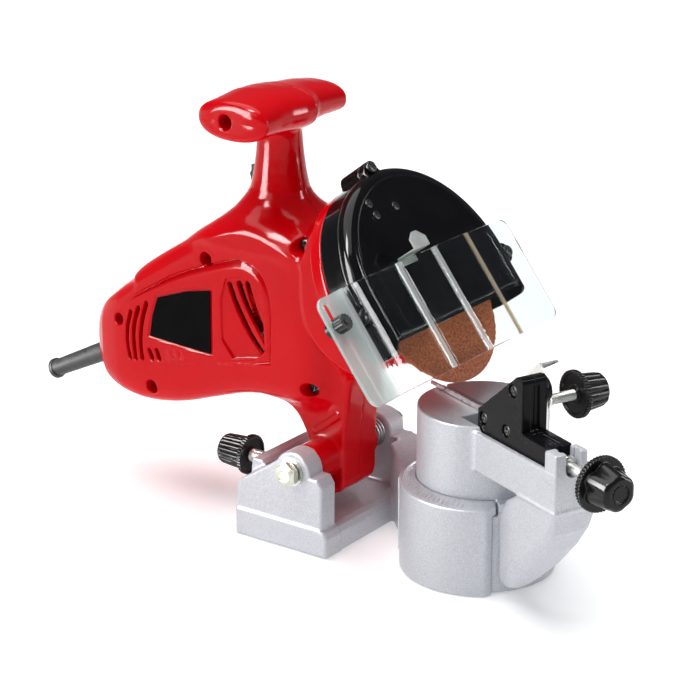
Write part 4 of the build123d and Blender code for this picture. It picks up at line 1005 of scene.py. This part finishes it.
# ------------------------------------------------------------------ thumb knobs
def knob_f(fr, ft, r1, r2, L, flutes, knurl, depth, style, bore, bore_len):
    def f(x, y, z):
        R = hyp(x, y)
        th = np.arctan2(y, x)
        rim = fr - 0.55 * (0.5 - 0.5 * np.cos(th * knurl))
        fl = rmax((R - rim) * 0.8, np.abs(z - ft / 2) - ft / 2, 0.45)
        t = np.clip((z - ft) / L, 0, 1)
        rr = r1 + (r2 - r1) * t ** 1.3
        if style == "scallop":
            c = (0.5 + 0.5 * np.cos(th * flutes)) ** 1.5
            fade = np.clip(1.15 - 1.05 * t, 0, 1) ** 0.8
            rr = rr - depth * c * fade
        else:
            c = np.abs(np.cos(th * flutes / 2)) ** 0.7
            fade = np.clip((0.97 - t) / 0.12, 0, 1)
            rr = rr - depth * (1 - c) * fade
        cap = rmax((R - rr) * 0.86, z - ft - L, 2.2)
        cap = np.maximum(cap, 0.4 - z)
        d = smin(fl, cap, 0.7)
        face = ft + L
        d = smax(d, -rmax(np.abs(R - r2 * 0.50) - 0.45, face - 0.7 - z, 0.2), 0.3)
        d = smax(d, -rmax(R - r2 * 0.42, face - 0.45 - z, 0.2), 0.4)
        und = np.maximum(np.maximum(R - fr * 0.82, 5.4 - R), z - 0.9)
        d = smax(d, -und, 0.4)
        return smax(d, -np.maximum(R - bore, z - bore_len), 0.2)
    return f


def make_knobs():
    h = 0.42
    M = VISE @ at(-13.5, -123.0, 96.0, (0, -1, 0))
    solid("feed_knob_moulding", knob_f(15.4, 3.6, 12.3, 9.7, 15.0, 6, 48, 2.1, "scallop", 2.62, 10.6), (-16, -16, 0), (16, 16, 18.6), h, "feed_drive", MATS["knob"],
          ("feed_knob",), M=M, slot="black_gloss")
    M = VISE @ at(22.0, -52.8, 114.8, (1, 0, 0))
    solid("clamp_knob_moulding", knob_f(13.5, 3.2, 10.9, 9.3, 15.5, 12, 48, 1.5, "rib", 2.62, 10.5), (-14, -14, 0), (14, 14, 18.7), h, "clamp_drive", MATS["knob"],
          ("clamp_knob",), M=M, slot="black_gloss")
    M = at(-5.5, 41.2, 30.0, (0, 1, 0))
    solid("depth_knob_moulding", knob_f(12.4, 3.2, 10.3, 9.1, 18.0, 20, 40, 1.1, "rib", 3.02, 11.0), (-13, -13, 0), (13, 13, 21.2), h, "depth_stop", MATS["knob"],
          ("depth_stop_knob",), M=M, slot="black_gloss")

    def lock(x, y, z):
        R = hyp(x, y)
        th = np.arctan2(y, x)
        rr = 15.3 - 2.4 * (0.5 + 0.5 * np.cos(th * 6)) ** 1.6
        d = rmax((R - rr) * 0.8, np.abs(z - 9.4) - 5.2, 1.4)
        return smax(d, 4.03 - R, 0.3)
    solid("vise_lock_moulding", lock, (-16, -16, 4), (16, 16, 15), 0.5, "vise_lock", MATS["knob"], ("vise_lock_knob",), M=VISE, slot="black_gloss")


def make_screws():
    turned("feed_screw_rod", [(45.0, 2.2), (45.8, 3.0), (94.6, 3.0), (95.1, 3.0), (95.1, 5.3), (95.4, 5.6), (97.6, 5.6), (97.9, 5.3), (97.9, 3.0), (122.98, 3.0), (122.98, 2.6), (133.0, 2.6)],
           "feed_drive", MATS["zinc"], ("feed_screw",), M=VISE @ at(-13.5, 0, 96.0, (0, -1, 0)), seg=40, thread=(45.8, 94.6, 1.0, 0.55))
    turned("clamp_screw_rod", [(-10.4, 2.4), (-9.8, 3.0), (2.3, 3.0), (2.35, 3.0), (2.35, 5.0), (2.6, 5.2), (3.95, 5.2), (4.2, 5.0), (4.2, 3.0), (21.9, 3.0), (21.98, 2.6), (32.0, 2.6)],
           "clamp_drive", MATS["zinc"], ("clamp_screw",), M=VISE @ at(0, -52.8, 114.8, (1, 0, 0)), seg=40, thread=(4.2, 21.9, 1.0, 0.55))
    turned("depth_screw_rod", [(-5.4, 1.9), (-5.3, 2.0), (-3.4, 2.0), (-3.4, 3.2), (-2.7, 4.0), (41.1, 4.0), (41.2, 3.0), (52.0, 3.0)],
           "depth_stop", MATS["zinc"], ("depth_stop_screw",), M=at(-5.5, 0, 30.0, (0, 1, 0)), seg=48, thread=(-2.7, 41.1, 1.25, 0.65))
    V = VISE
    screws("carriage_plate_screws", [(V @ at(-19.4, -b, z, (-1, 0, 0)), (9.6 if b < 40 else 11.8)) for b, z in CSCREW], 3.3, 2.1, 1.9, "carriage",
           MATS["black_steel"], ("carriage_screws",), 2.2, slot="steel")
    places = [(at(-22.0, y, z, (-1, 0, 0)), 35.0) for y, z in SCREWS_YZ] + [(at(-30.0, 25.0, 246.0, (-1, 0, 0)), 43.0)]
    screws("housing_screw_set", places, 3.6, 2.3, 1.75, "head", MATS["black_steel"], ("housing_screws",), 2.3, slot="zinc_steel", step=0.36)


# ------------------------------------------------------------------ hinge bolt and nut
def make_bolt():
    def f(x, y, z):
        R = hyp(y, z)
        hd = hexa(y, z, 13.0)
        hd = rmax(hd, np.abs(x + 53.95) - 2.65, 0.25)
        hd = smax(hd, (R - 7.1) * 0.5 + (-x - 54.7) * 0.86, 0.25)
        hd = smax(hd, -rmax(R - 3.4, x + 56.1, 0.3), 0.3)
        col = rmax(R - 6.2, np.abs(x + 50.9) - 0.8, 0.2)
        sh = rmax(R - 4.0, np.abs(x - 3.4) - 54.6, 0.8)
        th = np.arctan2(z, y)
        ph = (x / 1.25 - th / (2 * pi)) % 1.0
        cut = 0.5 * np.abs(ph * 2 - 1)
        sh = np.where(x > 36.0, sh + cut * 0.8, sh)
        return np.minimum(np.minimum(hd, col), sh)
    solid("hinge_bolt_m8", f, (-57, -8, -8), (58.2, 8, 8), 0.4, "base", MATS["bolt"], ("hinge_bolt",), M=at(0, -20.7, 48.0), slot="zinc_steel")

    def g(x, y, z):
        R = hyp(y, z)
        d = rmax(hexa(y, z, 13.0), np.abs(x - 52.65) - 3.25, 0.2)
        d = smax(d, (R - 7.1) * 0.5 + (x - 54.9) * 0.86, 0.25)
        d = smax(d, (R - 7.1) * 0.5 + (50.4 - x) * 0.86, 0.25)
        d = smin(d, rmax(R - 5.4, np.abs(x - 56.6) - 1.0, 0.5), 0.4)
        return smax(d, 4.04 - R, 0.15)
    solid("hinge_lock_nut", g, (49, -8, -8), (58, 8, 8), 0.36, "base", MATS["bolt"], ("hinge_nut",), M=at(0, -20.7, 48.0), slot="zinc_steel")


# ------------------------------------------------------------------ wheel guard, HEAD frame
LUGS = [(-4.6, 77.0, 79.6, 0.0), (66.5, 5.5, 5.5, 2.0), (-70.5, 5.5, 5.5, -2.0)]
SMALL = [(-27.0, 60.0), (-26.0, 52.5), (-7.0, 53.5)]


def guard_body_f(x, v, n):
    d = rmax(ushape(x, v, 67.2, 20.0, rc=2.5), np.abs(n - 0.35) - 7.65, 0.9)
    hollow = np.maximum(ushape(x, v, 64.6, 25.0, rc=1.0), -4.9 - n)
    d = smax(d, -hollow, 0.6)
    lug = None
    for lx, lv, sv, dx in LUGS:
        q = hyp(x - lx, v - lv) - 6.4
        if lx < -50:
            q = np.minimum(q, np.maximum(np.abs(x - lx - 3.25) - 3.25, np.abs(v - lv) - 6.4))
        lug = q if lug is None else np.minimum(lug, q)
    lug = rmax(lug, np.abs(n - 0.35) - 7.65, 0.8)
    lug = np.maximum(lug, -np.maximum(ushape(x, v, 64.6, 25.0, rc=1.0), -4.9 - n))
    d = smin(d, lug, 2.0)
    d = smax(d, -np.maximum(hyp(x, v) - 18.0, n), 0.5)
    for lx, lv, sv, dx in LUGS:
        d = smax(d, 2.05 - hyp(x - lx - dx, v - sv), 0.2)
    return d


def guard_cover_f(x, v, n):
    u = ushape(x, v, 67.2, 20.0, rc=3.0)
    d = rmax(u, n - 16.0, 6.4)
    # face plateau with a soft step round it
    d = smin(d, rmax(u + 7.0, n - 16.7, 0.6), 0.5)
    d = rmax(d, 8.0 - n, 0.35)
    inner = np.maximum(ushape(x, v, 62.0, 25.0, rc=1.0), n - 15.2)
    d = smax(d, -inner, 0.5)
    for lx, lv, sv, dx in LUGS:
        top = 9.9 if lx < -50 else 13.0
        q = hyp(x - lx, v - lv) - 6.4
        if lx < -50:
            q = np.minimum(q, np.maximum(np.abs(x - lx - 3.25) - 3.25, np.abs(v - lv) - 6.4))
        q = rmax(q, np.abs(n - (8.0 + top) / 2) - (top - 8.0) / 2, 0.7)
        q = np.maximum(q, -ushape(x, v, 64.6, 25.0, rc=1.0) - 0.4)
        d = smin(d, q, 1.6)
        d = smax(d, -np.maximum(hyp(x - lx - dx, v - sv) - 4.3, top - n), 0.4)
        d = smax(d, 2.05 - hyp(x - lx - dx, v - sv), 0.2)
    for sx, sv in SMALL:
        d = smax(d, -np.maximum(hyp(x - sx, v - sv) - 1.55, 12.0 - n), 0.1)
        d = smin(d, rmax(hyp(x - sx, v - sv) - 3.6, np.abs(n - 16.2) - 0.5, 0.4), 0.5)
    return d


def make_guard():
    solid("guard_body_moulding", guard_body_f, (-79, -21, -7.5), (74, 84.5, 8.2), 0.8, "head", MATS["black_gloss"], ("guard_body",), M=HEAD, slot="black_gloss")
    solid("guard_cover_moulding", guard_cover_f, (-79, -21, 7.8), (74, 84.5, 17.0), 0.75, "head", MATS["black_gloss"], ("guard_cover",), M=HEAD, slot="black_gloss")
    pl = []
    for lx, lv, sv, dx in LUGS:
        t2 = 11.95 if lx < -50 else 13.0
        pl.append((HEAD @ at(lx + dx, sv, t2), t2 + 6.3))
    big = [moved(nets(screw_fun(3.7, 2.4, 2.0, L), (-3.7, -3.7, -L), (3.7, 3.7, 2.4), 0.32, 2), M) for M, L in pl]
    sml = [moved(nets(screw_fun(2.6, 1.15, 1.5, 2.2, 1.6), (-2.6, -2.6, -2.4), (2.6, 2.6, 1.2), 0.25, 2), HEAD @ at(a, b, 16.7)) for a, b in SMALL]
    P, Q, N = merge(big + sml)
    build("guard_screw_set", P, Q, N, WORLD, "head", MATS["black_steel"], ("guard_screws",), "zinc_steel")


def screw_fun(r, h, shank_r, L, cross=2.3):
    hd = pan_head(r, h, cross)

    def g(x, y, z):
        s = rmax(hyp(x, y) - shank_r, np.abs(z + L / 2 - 0.2) - L / 2 - 0.2, 0.3)
        return np.minimum(hd(x, y, z), s)
    return g


# ------------------------------------------------------------------ see-through shield, HEAD frame
SHIELD = [(-103.7, 13.0), (-91.0, 13.0), (-86.0, 22.0), (-42.5, 23.6), (-39.5, 26.2), (-11.0, 26.4), (-8.0, 28.6), (21.5, 28.6), (24.5, 25.8), (67.0, 24.2)]


def shield_f(x, v, n):
    line = chaikin(SHIELD, 3, closed=False)
    s = line2(x, n, line) - 1.0
    qx, qv = np.abs(x + 18.35) - 85.35 + 6.5, np.abs(v + 9.45) - 32.25 + 6.5
    plan = hyp(np.maximum(qx, 0), np.maximum(qv, 0)) + np.minimum(np.maximum(qx, qv), 0) - 6.5
    d = rmax(s, plan, 0.35)
    sl = hyp(np.maximum(np.abs(v - 11.4) - 5.95, 0), x + 97.6) - 2.25
    return smax(d, -sl, 0.3)


def make_shield():
    ob = solid("shield_sheet", shield_f, (-104.2, -42, 11.5), (67.5, 23, 30), (0.46), "front_shield", MATS["clear"], ("shield",), M=HEAD, slot="clear_sheet", iters=4)
    ob.visible_shadow = True
    P = nets(lambda x, y, z: smax(rmax((hyp(x, y) - (4.75 - 0.4 * (0.5 + 0.5 * np.cos(np.arctan2(y, x) * 14)))) * 0.9, np.abs(z - 3.35) - 3.3, 0.5), 2.03 - hyp(x, y), 0.2),
             (-4.9, -4.9, 0), (4.9, 4.9, 6.7), 0.25)
    P = moved(P, HEAD @ at(-97.6, 5.5, 14.3))
    build("thumb_nut_turned", *P, WORLD, "shield_nut", MATS["black_steel"], ("thumb_nut",), "steel")


def make_clip():
    """bent steel clip: foot on the guard's face, bridge, and a pointed ear in front of the sheet's top edge"""
    def f(x, v, n):
        foot = bx(x, v, n, -29.0, -15.0, 20.5, 25.7, 16.75, 17.95, 0.25)
        bridge = bx(x, v, n, -29.0, -15.0, 24.5, 25.7, 16.75, 31.2, 0.25)
        ear = rmax(poly2(x + 0 * v, v + 0 * x, [(-29.0, 24.5), (-15.0, 24.5), (-15.0, 30.0), (-20.5, 34.5), (-24.5, 34.5), (-29.0, 31.0)]), np.abs(n - 30.6) - 0.6, 0.25)
        return np.minimum(np.minimum(foot, bridge), ear)
    solid("shield_clip_bent", f, (-29.3, 20.2, 16.5), (-14.7, 38.3, 31.4), 0.34, "head", MATS["tab"], ("shield_clip",), M=HEAD, slot="zinc_steel")


# ------------------------------------------------------------------ grinding wheel
def make_wheel():
    seg = 220
    rng = np.random.RandomState(7)
    prof = [(-1.6, 5.0), (-1.6, 24.0), (-1.6, 36.0), (-1.6, 46.0), (-1.6, 49.3), (-1.2, 49.85), (-0.4, 50.0), (0.4, 50.0), (1.2, 49.85), (1.6, 49.3), (1.6, 46.0), (1.6, 36.0), (1.6, 24.0), (1.6, 5.0)]
    th = np.linspace(0, 2 * pi, seg, endpoint=False)
    P = []
    for w, r in prof:
        jit = rng.uniform(-0.12, 0.05, seg) if r > 49 else np.zeros(seg)
        rr = r + jit
        P.append(np.stack([rr * np.cos(th), rr * np.sin(th), np.full(seg, w)], 1))
    P = np.vstack(P)
    n, m = len(prof), seg
    Q = []
    for i in range(n):
        for j in range(m):
            a, b = i * m + j, i * m + (j + 1) % m
            c, d = ((i + 1) % n) * m + (j + 1) % m, ((i + 1) % n) * m + j
            Q.append((a, b, c, d))
    P = P @ HEAD[:3, :3].T + HEAD[:3, 3]
    me = bpy.data.meshes.new("abrasive_wheel")
    me.from_pydata((P * MM).tolist(), [], Q)
    me.update()
    me.polygons.foreach_set("use_smooth", np.ones(len(me.polygons), bool))
    me.set_sharp_from_angle(angle=radians(35))
    me.materials.append(MATS["abrasive"])
    ob = bpy.data.objects.new("abrasive_wheel", me)
    bpy.context.scene.collection.objects.link(ob)
    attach(ob, "wheel_spindle")
    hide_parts("grinding_wheel")


# ------------------------------------------------------------------ strain relief
def make_sleeve():
    M = at(0.0, 139.6, 81.3, (0, 0.8975, -0.4410))
    prof = [(-3.0, 3.6), (-3.0, 8.3), (-2.7, 8.6), (-0.7, 8.6), (-0.4, 8.3), (-0.4, 6.6), (1.0, 6.6)]
    w = 2.0
    while w < 22.0:
        r = 6.62 - 0.0178 * w
        prof += [(w, r), (w + 0.35, r - 0.55), (w + 1.25, r - 0.55), (w + 1.6, r)]
        w += 3.2
    prof += [(24.0, 6.19), (69.2, 5.38), (69.9, 5.5), (70.1, 6.3), (70.5, 6.5), (72.4, 6.5), (72.9, 6.2), (73.0, 5.8), (73.0, 3.6)]
    seg = 48
    th = np.linspace(0, 2 * pi, seg, endpoint=False)
    P = np.vstack([np.stack([r * np.cos(th), r * np.sin(th), np.full(seg, w)], 1) for w, r in prof])
    n, m = len(prof), seg
    Q = [(i * m + j, i * m + (j + 1) % m, ((i + 1) % n) * m + (j + 1) % m, ((i + 1) % n) * m + j) for i in range(n) for j in range(m)]
    P = P @ M[:3, :3].T + M[:3, 3]
    me = bpy.data.meshes.new("strain_relief_sleeve")
    me.from_pydata((P * MM).tolist(), [], Q)
    me.update()
    me.polygons.foreach_set("use_smooth", np.ones(len(me.polygons), bool))
    me.set_sharp_from_angle(angle=radians(30))
    me.materials.append(MATS["rubber"])
    ob = bpy.data.objects.new("strain_relief_sleeve", me)
    bpy.context.scene.collection.objects.link(ob)
    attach(ob, "head")
    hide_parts("strain_relief")


for fn in (make_base, make_vise, make_scale, make_knobs, make_screws, make_bolt, make_guard, make_shield, make_clip, make_wheel, make_sleeve):
    fn()
    lap(fn.__name__)
solid("carriage_left_plate", carriage(False), (-22, -90, 81.5), (-13.3, -25.5, 136), 0.5, "carriage", MATS["carriage"], ("carriage_left",), M=VISE, slot="black_satin")
solid("carriage_right_plate", carriage(True), (-13.7, -90, 81.5), (-2.4, -25.5, 136), 0.5, "carriage", MATS["carriage"], ("carriage_right",), M=VISE, slot="black_satin")
lap("carriage")


# ------------------------------------------------------------------ CAD nodes that stay: finishes
KEEP = {
    "base_casting": "cast", "vise_body": "cast", "hinge_bolt": "zinc", "hinge_nut": "zinc", "hinge_washers": "zinc", "return_spring": "spring",
    "pivot_plate": "zinc", "pivot_plate_screws": "zinc", "thrust_washer": "steel", "depth_stop_pad": "steel", "depth_stop_screw": "zinc",
    "depth_stop_knob": "knob", "vise_stud": "zinc", "vise_lock_knob": "knob", "carriage_left": "black_satin", "carriage_right": "black_satin",
    "carriage_screws": "zinc", "finger_pin": "steel", "stop_finger": "steel", "clamp_plate": "zinc", "clamp_screw": "zinc", "clamp_knob": "knob",
    "feed_screw": "zinc", "feed_knob": "knob", "housing_left": "red", "housing_right": "red", "housing_screws": "zinc", "label_panel": "label",
    "strain_relief": "rubber", "cord_clamp": "black_satin", "cord_clamp_screws": "zinc", "switch_body": "black_satin", "switch_rocker": "knob",
    "bearing_carrier": "cast", "gear_case_plate": "cast", "spindle_bearings": "steel", "armature_bearings": "steel", "stator": "lam",
    "field_coils": "copper", "brush_holders": "zinc", "carbon_brushes": "carbon", "guard_body": "black_gloss", "guard_cover": "black_gloss",
    "guard_screws": "zinc", "shield_bracket": "black_steel", "shield_bolt": "black_steel", "shield_clip": "tab", "armature_shaft": "steel",
    "armature_core": "lam", "commutator": "copper", "fan": "nylon", "pinion": "steel", "spindle": "steel", "drive_gear": "steel",
    "inner_flange": "zinc", "outer_flange": "zinc", "wheel_nut": "zinc", "grinding_wheel": "abrasive", "shield": "clear", "thumb_nut": "steel",
}
for node, mat in KEEP.items():
    for s in NODES[node].material_slots:
        s.material = MATS[mat]
